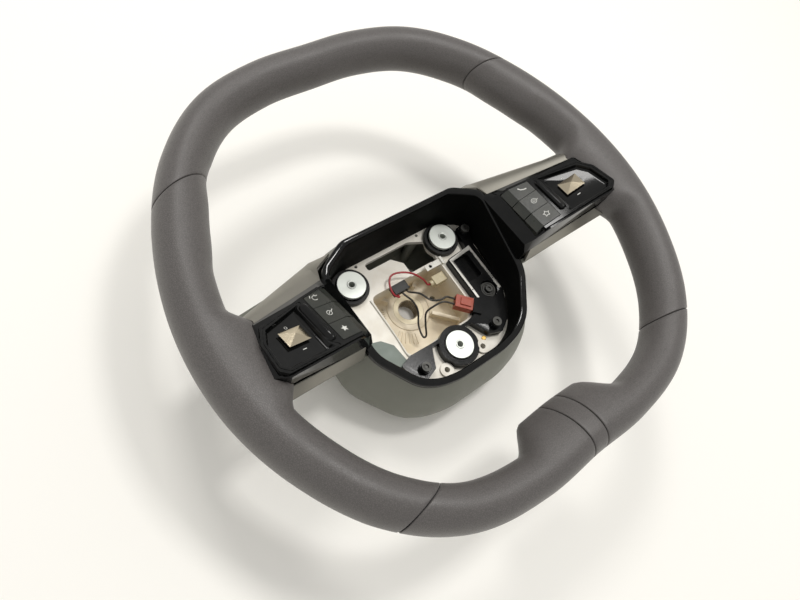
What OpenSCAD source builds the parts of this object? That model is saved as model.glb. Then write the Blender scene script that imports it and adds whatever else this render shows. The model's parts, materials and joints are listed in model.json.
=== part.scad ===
// Car steering wheel with an open hub, millimetres.
// Origin at the centre of the column bore's back face, +Z towards the driver, +Y to 12 o'clock.

/* [Rim] */
// Overall width of the rim
rim_w = 375; // [350:1:400]
// Overall height of the rim from its flat bottom to its top
rim_h = 363; // [340:1:385]
// Height of the rim's middle plane above the column seat
rim_lift = 112; // [106:1:118]
// How far the rim's clock centre sits above the column axis
rim_shift = 20; // [14:1:26]
// Width of the grip at the top and bottom
grip_w = 28.6; // [26:0.2:31]
// Extra width of the grip at the sides
grip_swell = 4.9; // [2:0.1:7]
// Depth of the grip from front to back
grip_t = 37; // [34:0.5:40]
// Thickness of the stitched skin over the foam
skin_t = 1.2; // [0.8:0.1:1.6]
// Gap at each tucked seam of the skin
seam_gap = 0.6; // [0.3:0.1:1]
// Clock angle of the upper seams
seam_high = 53.9; // [50:0.1:57]
// Clock angle of the lower seams
seam_low = 140.7; // [137:0.1:144]
// Diameter of the cast ring inside the rim
core_d = 13; // [11:0.5:15]

/* [Thumb fin] */
// Width of the fin's inner edge at the bottom of the rim
fin_w = 48; // [40:1:56]
// How far the fin stands in from the rim
fin_out = 16; // [8:0.5:20]
// How far the fin's edge drops below the middle plane
fin_drop = 11; // [6:0.5:13]
// Width of the narrow band across the fin
band_w = 13.5; // [10:0.5:18]

/* [Spokes] */
// How far the foam reaches in at each spoke
root_out = 12; // [9:0.5:13]
// Distance of the switch panel's own centre from the column axis
panel_x = 110; // [108:0.5:112]
// Height of that centre above the rim's middle plane
panel_rise = 3.4; // [2.4:0.1:4.4]
// Tilt of the panel up towards the rim
panel_slope = 19.3; // [18:0.1:20.5]
// Tilt of the panel up towards the bottom of the wheel
panel_lean = 14.9; // [14:0.1:16]
// Wall of the moulded covers
cover_wall = 2.2; // [1.8:0.1:2.6]
// Thickness of the satin trims
trim_t = 1.8; // [1.4:0.1:2.2]

/* [Switches] */
// Height of one key along the spoke's edge
key_pitch = 15; // [14:0.1:15.2]
// Gap round a key
key_gap = 0.4; // [0.3:0.05:0.6]
// Travel of a key
key_travel = 1.2; // [0.6:0.1:1.5]
// Length of the pyramid toggle
toggle_l = 17; // [14:0.5:18]
// Width of the pyramid toggle
toggle_w = 12; // [10:0.5:13]
// Height of the pyramid's point above its edge
toggle_h = 2.8; // [2:0.1:3.5]
// Depth of the dish round the toggle
dish_depth = 3.2; // [2.6:0.1:3.6]

/* [Hub] */
// Diameter of the column bore
bore_d = 17.6; // [14:0.1:20]
// Length of the column bore
boss_h = 14; // [11:0.5:17]
// Outer diameter of the steel bush
bush_d = 27; // [25:0.5:31]
// Diameter of the cast boss round the bush
boss_d = 42; // [36:1:46]
// Height of the hub plate's front face above the column seat
plate_z = 44; // [42:0.5:46]
// Thickness of the hub plate
plate_t = 4; // [3:0.25:5]
// Wall and rib thickness of the casting
cast_wall = 3; // [2.5:0.25:3.5]
// Width of the airbag opening's frame at the lip
lip_w = 4.5; // [3.5:0.25:5.5]
// Tilt of the bezel's lip down towards the bottom of the wheel
lip_tilt = 12.2; // [11:0.1:13]

/* [Airbag mounts] */
// Distance of the upper mounts from the wheel's middle
mount_x = 46.2; // [45:0.1:47]
// Height of the upper mounts above the column axis
mount_high = 31.3; // [30:0.1:32]
// Depth of the lower mount below the column axis
mount_low = 51.6; // [50.5:0.1:52]
// Diameter of a mount's zinc disc
disc_d = 23; // [21:0.5:24]
// Travel of the horn
horn_travel = 1.6; // [1:0.1:2]
// Diameter of the bore through the plate at a mount
mount_bore = 8.4; // [7.4:0.1:9.4]

/* [Hidden] */
$fn = 48;
// Fit between moulded pieces
fit = 0.3;

// Half width and half depth of the grip, and the shape of its centre line
side_half = (grip_w + grip_swell) / 2;
// Distance of the rim's centre line from the clock centre, every 15 degrees from the top
rim_reach = [162, 166.5, 172, 171, 168, 167.5, 170, 174.5, 179.5, 185.5, 186.5, 178, 171.5];
reach_step = 15;
outline_half = max([for (a = [60:5:120]) reach(a) * sin(a)]);
outline_low = max([for (a = [150:5:180]) -reach(a) * cos(a)]);
scale_x = (rim_w / 2 - side_half) / outline_half;
scale_y = (rim_h - grip_w) / (rim_reach[0] + outline_low);
rim_sides = 16;
core_sides = 8;

function reach_at(i) = rim_reach[i < 0 ? -i : i > 12 ? 24 - i : i];
function blend4(a, b, c, d, f) =
    b + f * (c - a + f * (2 * a - 5 * b + 4 * c - d + f * (3 * (b - c) + d - a))) / 2;
function reach(a) = let (q = abs(a) / reach_step, i = min(floor(q), 11))
    blend4(reach_at(i - 1), reach_at(i), reach_at(i + 1), reach_at(i + 2), q - i);
function centre(a) = [reach(a) * sin(a) * scale_x, reach(a) * cos(a) * scale_y + rim_shift];
function unit(v) = v / norm(v);
function along(a) = unit(centre(a + 0.5) - centre(a - 0.5));
// Place along a spoke, given for a hub 77 mm and a rim 187.5 mm from the middle
function out(x) = hub_half_w + (x - 77) * (rim_w / 2 - hub_half_w) / 110.5;
function fade(d, flat, fall) =
    d <= flat ? 1 : d >= flat + fall ? 0 : (1 + cos(180 * (d - flat) / fall)) / 2;

// Where the section is drawn out: the fin, the spoke roots and the thumb rests
fin_fall = 24;
root_y = -2.5;
root_half = 24;
root_fall = 17;
thumb_a = 64;
thumb_out = 2.5;
function fin(a) = abs(a) > 90 ? fade(abs(centre(a)[0]), fin_w / 2, fin_fall) : 0;
function root(a) = abs(a) > 60 && abs(a) < 125
    ? fade(abs(centre(a)[1] - root_y), root_half, root_fall) : 0;
function thumb(a) = fade(abs(abs(a) - thumb_a), 2, 9);
function inward(a) = fin_out * fin(a) + root_out * root(a) + thumb_out * thumb(a);

// Slant of the seams against the rim's own section, as a shift along the rim
slant_high = 0.877;
slant_low = -0.694;
function slant(a) = sign(a) * (slant_high * fade(abs(abs(a) - seam_high), 1, 16)
    + slant_low * fade(abs(abs(a) - seam_low), 1, 16));

function half_w(a) = grip_w / 2 + grip_swell / 2 * (1 - cos(2 * a)) / 2;
function half_t(a) = grip_t / 2 + grip_swell / 4 * (1 - cos(2 * a)) / 2;
// One point of the rim's surface: a is the clock angle, s runs round the section from its outside
function rim_point(a, s, inset) = let (
        t = along(a),
        n = [-t[1], t[0]],
        reach_in = cos(s) < 0 ? inward(a) : 0,
        w = (half_w(a) - inset + reach_in) * cos(s),
        z = (half_t(a) - inset) * sin(s) - fin_drop * fin(a) * (cos(s) < 0 ? pow(cos(s), 2) : 0),
        p = centre(a) + w * n + w * slant(a) * t)
    [p[0], p[1], rim_lift + z];
function rim_ring(a, inset, sides) = [for (k = [0:sides - 1]) rim_point(a, -360 * k / sides, inset)];
function core_ring(a, r) = let (t = along(a), n = [-t[1], t[0]])
    [for (k = [0:core_sides - 1]) let (s = -360 * (k + 0.5) / core_sides, p = centre(a) + r * cos(s) * n)
        [p[0], p[1], rim_lift + r * sin(s)]];

// Clock angles of the rings of each skin piece
half_gap = seam_gap / 2 / 175 * 57.3;
band_a = 180 - asin(band_w / 2 / 171.5);
function steps(from, to, count) = [for (i = [0:count]) from + (to - from) * i / count];
function flip(list) = [for (i = [len(list) - 1:-1:0]) -list[i]];
top_steps = steps(-seam_high + half_gap, seam_high - half_gap, 14);
right_steps = steps(seam_high + half_gap, seam_low - half_gap, 16);
lower_steps = steps(seam_low + half_gap, band_a - half_gap, 7);
spoke_steps = [for (i = [3:12]) right_steps[i]];
band_right = band_a + half_gap;
band_steps = [band_right, 180, 360 - band_right];

// Loft through rings of equal length; closed joins the last ring to the first
module loft(rings, closed = false) {
    n = len(rings[0]);
    m = len(rings);
    spans = closed ? m : m - 1;
    sides = [for (j = [0:spans - 1], k = [0:n - 1]) let (
            a = j * n + k, b = j * n + (k + 1) % n,
            c = ((j + 1) % m) * n + (k + 1) % n, d = ((j + 1) % m) * n + k)
        each [[a, b, c], [a, c, d]]];
    ends = closed ? [] : [[for (k = [n - 1:-1:0]) k], [for (k = [0:n - 1]) (m - 1) * n + k]];
    polyhedron([for (r = rings) each r], concat(sides, ends), convexity = 8);
}
// Shell between an outer and an inner set of rings, open along its length
module sleeve(outer, inner) {
    n = len(outer[0]);
    m = len(outer);
    base = n * m;
    sides = [for (j = [0:m - 2], k = [0:n - 1]) let (
            a = j * n + k, b = j * n + (k + 1) % n, c = (j + 1) * n + (k + 1) % n, d = (j + 1) * n + k)
        each [[a, b, c], [a, c, d], [base + a, base + c, base + b], [base + a, base + d, base + c]]];
    last = (m - 1) * n;
    rims = [for (k = [0:n - 1]) let (k2 = (k + 1) % n)
        each [[k, base + k, base + k2], [k, base + k2, k2],
            [last + k, last + k2, base + last + k2], [last + k, base + last + k2, base + last + k]]];
    polyhedron([for (r = concat(outer, inner)) each r], concat(sides, rims), convexity = 8);
}
// Polygon with every corner rounded by an arc
function rounded(pts, r, n = 3) = [for (i = [0:len(pts) - 1]) let (
        p = pts[i],
        u = unit(pts[(i + len(pts) - 1) % len(pts)] - p), v = unit(pts[(i + 1) % len(pts)] - p),
        half = acos(u * v) / 2,
        room = min(norm(pts[(i + len(pts) - 1) % len(pts)] - p), norm(pts[(i + 1) % len(pts)] - p)) / 2.1,
        d = min(r / tan(half), room),
        c = p + unit(u + v) * d / cos(half),
        from = p + u * d - c, to = p + v * d - c,
        a0 = atan2(from[1], from[0]),
        turn = (atan2(to[1], to[0]) - a0 + 540) % 360 - 180)
    each [for (k = [0:n]) c + norm(from) * [cos(a0 + turn * k / n), sin(a0 + turn * k / n)]]];
function mirrored(pts) = concat(pts, [for (i = [len(pts) - 1:-1:0]) [-pts[i][0], pts[i][1]]]);

module both_sides() {
    children();
    mirror([1, 0, 0]) children();
}
module on_side(side) {
    if (side > 0) children();
    else mirror([1, 0, 0]) children();
}

// Outline of the hub opening: right half from the top corner round to the bottom
hub_half_w = 77;
hub_high = 37.4;
hub_top = 52;
hub_bottom = 74;
hub_middle = [0, -11];
hub_half = [[52, hub_top - 1.5], [64, 44.5], [hub_half_w, hub_high], [hub_half_w - 2.5, -31],
    [54, -62], [40, -70], [22, hub_bottom * -1 + 0.5]];
hub_outline = mirrored(hub_half);
hub_loop = rounded(hub_outline, 9, 2);
function grown(pts, g) = [for (p = pts) p + g * unit(p - hub_middle)];
lip_high = rim_lift - 21.7;
function lip_z(y) = lip_high - (hub_high - y) * tan(lip_tilt);

module tilted_cut(drop, up) {
    // Everything above the lip's plane
    translate([0, hub_high, lip_high - drop]) rotate([lip_tilt, 0, 0])
        translate([-150, -200, 0]) cube([300, 400, up]);
}

// Rim
module rim_body(steps, grow) {
    loft([for (a = steps) rim_ring(a, -grow, rim_sides)]);
}
arm_w = 6;
arm_y = [-16, 9];
arm_side = [[50, plate_z - plate_t], [hub_half_w - 2, plate_z - plate_t], [out(82), 60.5],
    [out(150), rim_lift - 13], [out(163), rim_lift - 6], [out(170), rim_lift - 4.5],
    [out(170), rim_lift + 4.5], [out(163), rim_lift + 5], [out(150), rim_lift - 5],
    [hub_half_w - 1, 66], [hub_half_w - 2.5, plate_z], [50, plate_z]];
module spoke_arms(grow) {
    both_sides() for (y = arm_y) translate([0, y + arm_w + grow, 0]) rotate([90, 0, 0])
        linear_extrude(arm_w + 2 * grow) offset(delta = grow) polygon(arm_side);
}
module core_ring_loft() {
    loft([for (a = core_steps) core_ring(a, core_d / 2)], true);
}
core_steps = steps(-180, 170, 35);
all_steps = concat(flip(lower_steps), flip(right_steps), top_steps, right_steps, lower_steps,
    [band_right, 180, 360 - band_right]);

module rim_core() {
    color([0.6, 0.6, 0.6]) core_ring_loft();
}
module rim_foam() {
    color([0.16, 0.16, 0.17]) difference() {
        loft([for (a = all_steps) rim_ring(a, skin_t, rim_sides)], true);
        core_ring_loft();
        spoke_arms(0);
        both_sides() wing_solid(fit);
    }
}
module skin(steps) {
    color([0.2, 0.2, 0.21]) sleeve([for (a = steps) rim_ring(a, 0, rim_sides)],
        [for (a = steps) rim_ring(a, skin_t, rim_sides)]);
}
module grip_skin(side) {
    difference() {
        skin(side > 0 ? right_steps : flip(right_steps));
        spoke_arms(fit);
        on_side(side) wing_solid(fit);
    }
}
module skin_top() { skin(top_steps); }
module skin_left() { grip_skin(-1); }
module skin_right() { grip_skin(1); }
module skin_lower_right() { skin(lower_steps); }
module skin_lower_left() { skin(flip(lower_steps)); }
module skin_band() { skin(band_steps); }

// Armature casting
well_left = -36;
well_right = 34;
well_low = -37;
well_high = 17;
slot_high = 43.5;
slot_low = 37;
tongue_end = 6;
well_loop = rounded([[well_left, well_high], [well_right, well_high], [well_right, well_low + 10],
    [well_right - 10, well_low], [well_left + 14, well_low - 0.5], [well_left, well_low + 10]], 5);
module window() {
    polygon(well_loop);
    polygon(rounded([[tongue_end, 14], [well_right, 14], [well_right, slot_low], [20, slot_high],
        [-24, slot_high], [-24, slot_low], [-2, slot_low], [tongue_end, slot_low - 8]], 2));
}
pad_x = 18.8;
pad_y = -62;
plate_loop = rounded(mirrored([[50, hub_top - 3], [66, 42], [72, 34], [70, -31], [51, -59], [38, -67],
    [20, -70.5]]), 6);
mounts = [[-mount_x, mount_high], [mount_x, mount_high], [0, -mount_low]];
posts = [[-52, -30], [52, -30], [-31, 45], [31, 45]];
module armature() {
    color([0.78, 0.79, 0.8]) difference() {
        union() {
            translate([0, 0, plate_z - plate_t]) linear_extrude(plate_t) difference() {
                polygon(plate_loop);
                window();
            }
            translate([0, 0, boss_h - cast_wall]) linear_extrude(plate_z - plate_t - boss_h + cast_wall)
                difference() {
                    offset(delta = cast_wall) polygon(well_loop);
                    polygon(well_loop);
                }
            translate([0, 0, boss_h - cast_wall]) linear_extrude(cast_wall)
                offset(delta = 1) polygon(well_loop);
            cylinder(h = boss_h, d = boss_d);
            for (m = mounts) translate([m[0], m[1], plate_z - mount_boss_h])
                cylinder(h = mount_boss_h, d = disc_d);
            for (x = [-pad_x, pad_x]) translate([x, pad_y, plate_z - 8]) cylinder(h = 10, d = 11);
            well_ribs();
            spoke_arms(0);
            spoke_webs();
        }
        core_ring_loft();
        translate([0, 0, -1]) cylinder(h = boss_h + 2, d = bush_d);
        for (m = mounts) translate([m[0], m[1], plate_z - 20]) cylinder(h = 30, d = mount_bore);
        for (x = [-pad_x, pad_x]) translate([x, pad_y, plate_z - 20]) cylinder(h = 30, d = 4.4);
        for (p = posts) translate([p[0], p[1], plate_z - 20]) cylinder(h = 30, d = 2.6);
        translate([25, -2, 0]) cylinder(h = boss_h + 5, d = 5);
    }
}
rib_h = 7;
module well_ribs() {
    for (a = [45:90:315]) intersection() {
        rotate(a) translate([boss_d / 2 - 2, -cast_wall / 2, boss_h - 1]) cube([40, cast_wall, rib_h + 1]);
        linear_extrude(plate_z) polygon(well_loop);
    }
}
module spoke_webs() {
    both_sides() translate([0, arm_y[1] + arm_w, 0]) rotate([90, 0, 0])
        linear_extrude(arm_y[1] + arm_w - arm_y[0])
        polygon([[hub_half_w - 5, plate_z - plate_t], [hub_half_w - 2, plate_z - plate_t], [out(82), 60.5],
            [out(138), rim_lift - 20], [out(138), rim_lift - 17.5], [out(80), 62]]);
}
module column_bush() {
    color([0.5, 0.46, 0.4]) difference() {
        cylinder(h = boss_h, d = bush_d);
        translate([0, 0, -1]) cylinder(h = boss_h + 2, d = bore_d);
    }
}

// Rear cover: a cup round the hub and an arm under each spoke
cup_levels = [[0, -10], [0.05, 0], [0.2, 10], [0.45, 13], [0.75, 9], [1, 1.5]];
cover_top = 5;
function cup_ring(f, g, drop) = [for (p = hub_loop) let (q = p + (g - drop) * unit(p - hub_middle))
    [q[0], q[1], f * (lip_z(p[1]) - cover_top)]];
arm_hub = [[-25.1, 67.2], [-24.5, 55], [-17, 47], [34, 47], [46, 55], [52, 66]];
arm_rim = [[-32, 110.5], [-29, 100], [-22, 92.5], [18, 92.5], [26, 97], [30, 108]];
arm_hub_x = out(66);
arm_rim_x = out(156);
function arm_slice(x, pts) = [for (i = [len(pts) - 1:-1:0]) [x, pts[i][0], pts[i][1] + rim_lift - 112]];
function arm_inside(pts, t) = [
    [pts[0][0] + t, pts[0][1] + 30], [pts[1][0] + t, pts[1][1] + t / 2], [pts[2][0] + t / 2, pts[2][1] + t],
    [pts[3][0] - t / 2, pts[3][1] + t], [pts[4][0] - t, pts[4][1] + t / 2], [pts[5][0] - t, pts[5][1] + 30]];
column_hole = 92;
// Gap between the skin and the covers that meet it
trim_gap = 0.5;
module rear_cover() {
    color([0.23, 0.23, 0.24]) difference() {
        union() {
            difference() {
                loft([for (l = cup_levels) cup_ring(l[0], l[1], 0)]);
                translate([0, 0, cover_wall])
                    loft([for (l = cup_levels) cup_ring(l[0], l[1], cover_wall)]);
                both_sides() loft([arm_slice(arm_hub_x, arm_inside(arm_hub, cover_wall)),
                    arm_slice(arm_rim_x, arm_inside(arm_rim, cover_wall))]);
            }
            both_sides() difference() {
                loft([arm_slice(arm_hub_x, arm_hub), arm_slice(arm_rim_x, arm_rim)]);
                loft([arm_slice(arm_hub_x - 1, arm_inside(arm_hub, cover_wall)),
                    arm_slice(arm_rim_x + 1, arm_inside(arm_rim, cover_wall))]);
                loft([for (l = cup_levels) cup_ring(l[0], l[1], cover_wall)]);
                linear_extrude(rim_lift) polygon(grown(hub_loop, 1.5 + fit));
            }
            for (p = posts) translate([p[0], p[1], cover_wall - 1])
                cylinder(h = plate_z - plate_t - cover_wall + 1, d = 8);
        }
        translate([0, 0, -1]) cylinder(h = cover_wall + 3, d = column_hole);
        for (p = posts) translate([p[0], p[1], -1]) cylinder(h = plate_z, d = 3);
        for (p = posts) translate([p[0], p[1], -1]) cylinder(h = 5, d = 7);
        both_sides() rim_body(spoke_steps, trim_gap);
    }
}

// Hub bezel: frame round the opening, and a wing over each spoke
wing_slices = [
    [74, [[-22.8, 87.5], [-18.5, 94.5], [29, 89.5], [34.5, 88.2]], [14, 0.5]],
    [79, [[-22.9, 89], [-20.4, 100.7], [27.8, 93.1], [33.5, 90.1]], [0.6, 1]],
    [89, [[-23.2, 92.1], [-21.6, 113], [25.5, 100.2], [31.4, 93.9]], [0.6, 1]],
    [144, [[-24.8, 110.6], [-24.6, 132.4], [17, 121.2], [18, 120]], [0.6, 1]],
    [152, [[-22, 113], [-19, 127.5], [12, 121], [14, 118]], [0.6, 1]]];
function wing_ring(s, g, shift, deeper) = let (x = out(s[0]) + shift, p = s[1], d = s[2]) [
    [x, p[0][0] - g, p[0][1] - d[0] - deeper - g], [x, p[0][0] - g, p[0][1]],
    [x, p[1][0] - g, p[1][1] + g], [x, p[2][0] + g, p[2][1] + g], [x, p[3][0] + g, p[3][1]],
    [x, p[3][0] + g, p[3][1] - d[1] - deeper - g]];
wing_room = [0, 1.5, 0, 0, -cover_wall];
module wing_solid(grow) {
    translate([0, 0, rim_lift - 112])
        loft([for (i = [0:4]) wing_ring(wing_slices[i], grow, i == 4 ? grow : 0, 0)]);
}
module wing_hollow() {
    translate([0, 0, rim_lift - 112])
        loft([for (i = [1:4]) wing_ring(wing_slices[i], -cover_wall, wing_room[i], 5)]);
}
module hub_bezel() {
    color([0.03, 0.03, 0.035]) difference() {
        union() {
            difference() {
                translate([0, 0, plate_z]) linear_extrude(60) polygon(grown(hub_loop, -1));
                tilted_cut(0, 80);
            }
            difference() {
                translate([0, 0, plate_z]) linear_extrude(60) polygon(grown(hub_loop, 1.5));
                tilted_cut(0, 80);
                translate([0, 0, -80]) tilted_cut(cover_top - fit, 80);
            }
            both_sides() wing_solid(0);
        }
        translate([0, 0, plate_z - 1]) linear_extrude(80) polygon(grown(hub_loop, -lip_w));
        both_sides() {
            wing_hollow();
            on_panel() {
                translate([0, 0, -flange_w - fit]) linear_extrude(40)
                    offset(delta = fit) polygon(panel_loop);
                translate([0, 0, -20]) linear_extrude(20)
                    offset(delta = fit - body_inset) polygon(panel_loop);
            }
        }
        spoke_arms(0.5);
        both_sides() translate([hub_half_w - 5.5, arm_y[0] - 0.5, plate_z - 1])
            cube([8, arm_y[1] - arm_y[0] + arm_w + 1, 6]);
    }
}

// Satin trims along both edges of each spoke
low_hub = [[-23.2, 88.4], [-26.2, 74.4]];
low_rim = [[-25, 111.9], [-31.5, 109]];
low_inward = [trim_t, 0];
high_hub = [[50.6, 76], [51, 80], [43.2, 85.6], [33.9, 88.9]];
high_rim = [[29.6, 106], [30, 109], [25.8, 113.6], [20, 115.9]];
high_inward = [-0.7, -0.7] * trim_t;
trim_hub_x = out(80);
trim_parts = 6;
// The upper trim runs on round the bezel's corner and fades out beside the opening
corner_tip = [[51.6, 79], [51.4, 80.6], [50, 85], [48.8, 88]];
corner_mid = [[52, 77], [52, 80], [47.4, 84.8], [43.4, 87.8]];
corner_tip_x = hub_half_w - 14;
corner_mid_x = hub_half_w - 0.5;
function trim_ring(x, pts, inward) =
    arm_slice(x, concat(pts, [for (i = [len(pts) - 1:-1:0]) pts[i] + inward]));
module trim(side, hub, rim, rim_x, inward, corner = []) {
    color([0.55, 0.55, 0.54]) on_side(side) difference() {
        loft(concat(corner, [for (i = [0:trim_parts]) let (f = i / trim_parts)
            trim_ring(trim_hub_x + (rim_x - trim_hub_x) * f, hub + (rim - hub) * f, inward)]));
        rim_body(spoke_steps, trim_gap);
    }
}
module lower_trim(side) { trim(side, low_hub, low_rim, out(152), low_inward); }
module upper_trim(side) {
    trim(side, high_hub, high_rim, out(138), high_inward, [trim_ring(corner_tip_x, corner_tip, high_inward),
        trim_ring(corner_mid_x, corner_mid, high_inward)]);
}

// Switch panel frame: u runs out along the spoke, v up the wheel, w towards the driver
module on_panel() {
    translate([out(panel_x), 0, rim_lift + panel_rise]) rotate([-panel_lean, -panel_slope, 0]) children();
}
panel_hub = -33;
facet_u = -24.5;
key_out = -8;
key_low = -18;
panel_loop = rounded([[panel_hub, -19.6], [38.5, -23.2], [43, -19], [40.5, 2], [33, 14], [-5.4, 24],
    [panel_hub, 29.5]], 2.5);
dish_loop = rounded([[1.5, -16], [-2, -19], [36, -20.3], [39.5, -16.5], [37, 1.5], [31, 10.8], [-2.5, 20.2],
    [1.5, 17]], 2);
key_field = [[panel_hub + 1.2, key_low], [key_out, key_low], [key_out, 22.8], [panel_hub + 1.2, 27.4]];
housing_t = 9;
// The panel's edge is a thin flange; the body below it stands back from the wall
flange_w = 2;
body_inset = 1.6;
board_t = 1.6;
toggle_u = 16.6;
toggle_v = -0.3;
gimbal_d = 15;
gimbal_bore = 9.4;
pin_d = 2;
pivot_w = -6.6;
gimbal_t = 2.6;
stem_d = 5;
module housing_body() {
    translate([0, 0, -flange_w]) linear_extrude(flange_w) polygon(panel_loop);
    translate([0, 0, -housing_t]) linear_extrude(housing_t) offset(delta = -body_inset) polygon(panel_loop);
}
module switch_housing(side) {
    color([0.03, 0.03, 0.035]) on_side(side) difference() {
        union() {
            on_panel() difference() {
                housing_body();
                translate([0, 0, -5]) linear_extrude(20) polygon(key_field);
                translate([0, 0, -13.5]) linear_extrude(10) intersection() {
                    polygon(key_field);
                    translate([panel_hub, key_low]) square([facet_u - panel_hub + 3, 3 * key_pitch]);
                }
                translate([0, 0, -dish_depth]) linear_extrude(10) polygon(dish_loop);
                translate([toggle_u, toggle_v, -housing_t - 1]) cylinder(h = 10, d = stem_d + 4);
                translate([toggle_u, toggle_v, -housing_t - 1])
                    cylinder(h = housing_t - dish_depth - 0.2, d = gimbal_d + 2);
                for (k = [0:2]) translate([-14, key_low + (k + 0.5) * key_pitch, -housing_t - 1])
                    cylinder(h = 10, d = 4);
            }
            on_panel() ridge();
        }
        on_panel() translate([toggle_u, toggle_v, pivot_w]) rotate([90, 0, 0])
            cylinder(h = gimbal_d + 6.4, d = pin_d + 0.1, center = true);
        rim_body(spoke_steps, 2);
    }
}
ridge_u = -4.2;
module ridge() {
    translate([ridge_u, 0, 0]) rotate([90, 0, 0]) translate([0, 0, -18]) linear_extrude(33)
        polygon([[-1.5, -2], [5.4, -2], [4.6, 0.4], [3, 1.8], [1, 2.2], [-0.8, 1.6], [-1.5, 0.4]]);
}
module switch_board(side) {
    color([0.1, 0.25, 0.14]) on_side(side) on_panel() difference() {
        union() {
            translate([0, 0, -housing_t - board_t]) linear_extrude(board_t)
                polygon([[-20, -18], [26, -18], [26, 13], [-6, 21.5], [-20, 24.5]]);
            for (k = [0:2]) translate([-14, key_low + (k + 0.5) * key_pitch, -housing_t])
                cylinder(h = 0.9, d = 3);
        }
        translate([toggle_u, toggle_v, -housing_t - board_t - 1]) cylinder(h = board_t + 2, d = stem_d + 4);
        for (s = [-1, 1]) translate([3, s * 14, -housing_t - board_t - 1]) cylinder(h = 4, d = 2.2);
    }
}
module gimbal(side) {
    color([0.12, 0.12, 0.13]) on_side(side) on_panel() translate([toggle_u, toggle_v, pivot_w]) {
        difference() {
            translate([0, 0, -gimbal_t / 2]) cylinder(h = gimbal_t, d = gimbal_d - 0.6);
            translate([0, 0, -3]) cylinder(h = 6, d = gimbal_bore);
            rotate([0, 90, 0]) translate([0, 0, -12]) cylinder(h = 24, d = pin_d + 0.1);
        }
        for (s = [-1, 1]) rotate([s * 90, 0, 0]) translate([0, 0, gimbal_bore / 2 + 0.4])
            cylinder(h = gimbal_d / 2 - gimbal_bore / 2 + 2.2, d = pin_d);
    }
}
module toggle(side) {
    base_w = -1.3;
    color([0.66, 0.63, 0.56]) on_side(side) on_panel() translate([toggle_u, toggle_v, 0]) {
        translate([0, 0, base_w]) polyhedron([
                [-toggle_l / 2, -toggle_w / 2, 0], [toggle_l / 2, -toggle_w / 2, 0],
                [toggle_l / 2, toggle_w / 2, 0], [-toggle_l / 2, toggle_w / 2, 0], [0, 0, toggle_h]],
            [[0, 1, 2, 3], [1, 0, 4], [2, 1, 4], [3, 2, 4], [0, 3, 4]]);
        translate([0, 0, base_w - 0.7]) linear_extrude(0.8)
            square([toggle_l - 1.2, toggle_w - 1.2], center = true);
        translate([0, 0, pivot_w - gimbal_t / 2]) cylinder(h = base_w - pivot_w + gimbal_t / 2, d = stem_d);
        translate([0, 0, pivot_w]) rotate([0, 90, 0]) translate([0, 0, -gimbal_d / 2 + 0.8])
            cylinder(h = gimbal_d - 1.6, d = pin_d);
    }
}
// Keys: a flat face with a sloped facet at the hub end
key_top_w = 0.3;
module key(side, k) {
    low = key_low + k * key_pitch + key_gap / 2;
    wide = key_pitch - key_gap;
    face = key_top_w;
    drop = facet_u - panel_hub - 1.8;
    color([0.17, 0.17, 0.18]) on_side(side) on_panel() {
        intersection() {
            translate([0, low + wide, 0]) rotate([90, 0, 0]) linear_extrude(wide) polygon([
                [key_out - key_gap, face], [facet_u, face], [facet_u - drop, face - drop],
                [facet_u - drop, face - drop - 2.6], [facet_u + 1, -3.4], [key_out - key_gap, -3.4]]);
            translate([0, 0, -20]) linear_extrude(30) offset(delta = -key_gap) polygon(key_field);
        }
        translate([-14, key_low + (k + 0.5) * key_pitch, -housing_t + 0.9 + key_travel + 0.1])
            cylinder(h = housing_t - 3.4 - 0.9 - key_travel, d = 3);
    }
}

// Airbag mounts
seat_d = 30;
mount_boss_h = 9;
seat_h = 4.5;
seat_floor = 0.9;
collar_h = 3.1;
disc_t = 3;
disc_z = plate_z + collar_h + horn_travel + fit + disc_t;
disc_room = disc_d + 1.4;
shank_d = mount_bore - 0.8;
flange_t = 1.8;
shank_l = disc_z - plate_z + mount_boss_h + flange_t + fit;
airbag_pin_d = 4.6;
module mount_seats() {
    color([0.07, 0.07, 0.075]) for (m = mounts) translate([m[0], m[1], plate_z]) difference() {
        union() {
            difference() {
                cylinder(h = seat_h, d = seat_d);
                translate([0, 0, seat_floor]) cylinder(h = seat_h, d = disc_room);
            }
            cylinder(h = collar_h, d = mount_bore + 3.4);
        }
        translate([0, 0, -1]) cylinder(h = seat_h + 2, d = mount_bore + 0.6);
    }
}
module mount_disc(i) {
    m = mounts[i];
    color([0.8, 0.81, 0.82]) translate([m[0], m[1], disc_z]) difference() {
        union() {
            translate([0, 0, -disc_t]) cylinder(h = disc_t, d = disc_d);
            translate([0, 0, -shank_l]) cylinder(h = shank_l - disc_t / 2, d = shank_d);
            translate([0, 0, -shank_l]) cylinder(h = flange_t, d = mount_bore + 3);
        }
        translate([0, 0, -shank_l - 1]) cylinder(h = shank_l + 2, d = airbag_pin_d);
    }
}
// Conical spring: its turns nest when the horn is pressed
wire_d = 1;
spring_low_r = 10;
spring_high_r = 7.2;
spring_turns = 2.5;
spring_steps = 24;
spring_sides = 5;
module mount_spring(i) {
    m = mounts[i];
    low = plate_z + seat_floor + wire_d / 2 + 0.05;
    high = disc_z - disc_t - wire_d / 2 - 0.05;
    color([0.45, 0.45, 0.46]) translate([m[0], m[1], 0]) loft([for (j = [0:spring_steps]) let (
            f = j / spring_steps, a = 360 * spring_turns * f, z = low + (high - low) * f,
            mid = spring_low_r + (spring_high_r - spring_low_r) * f)
        [for (k = [0:spring_sides - 1]) let (s = 360 * k / spring_sides, r = mid + wire_d / 2 * cos(s))
            [r * cos(a), r * sin(a), z + wire_d / 2 * sin(s)]]]);
}

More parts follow.
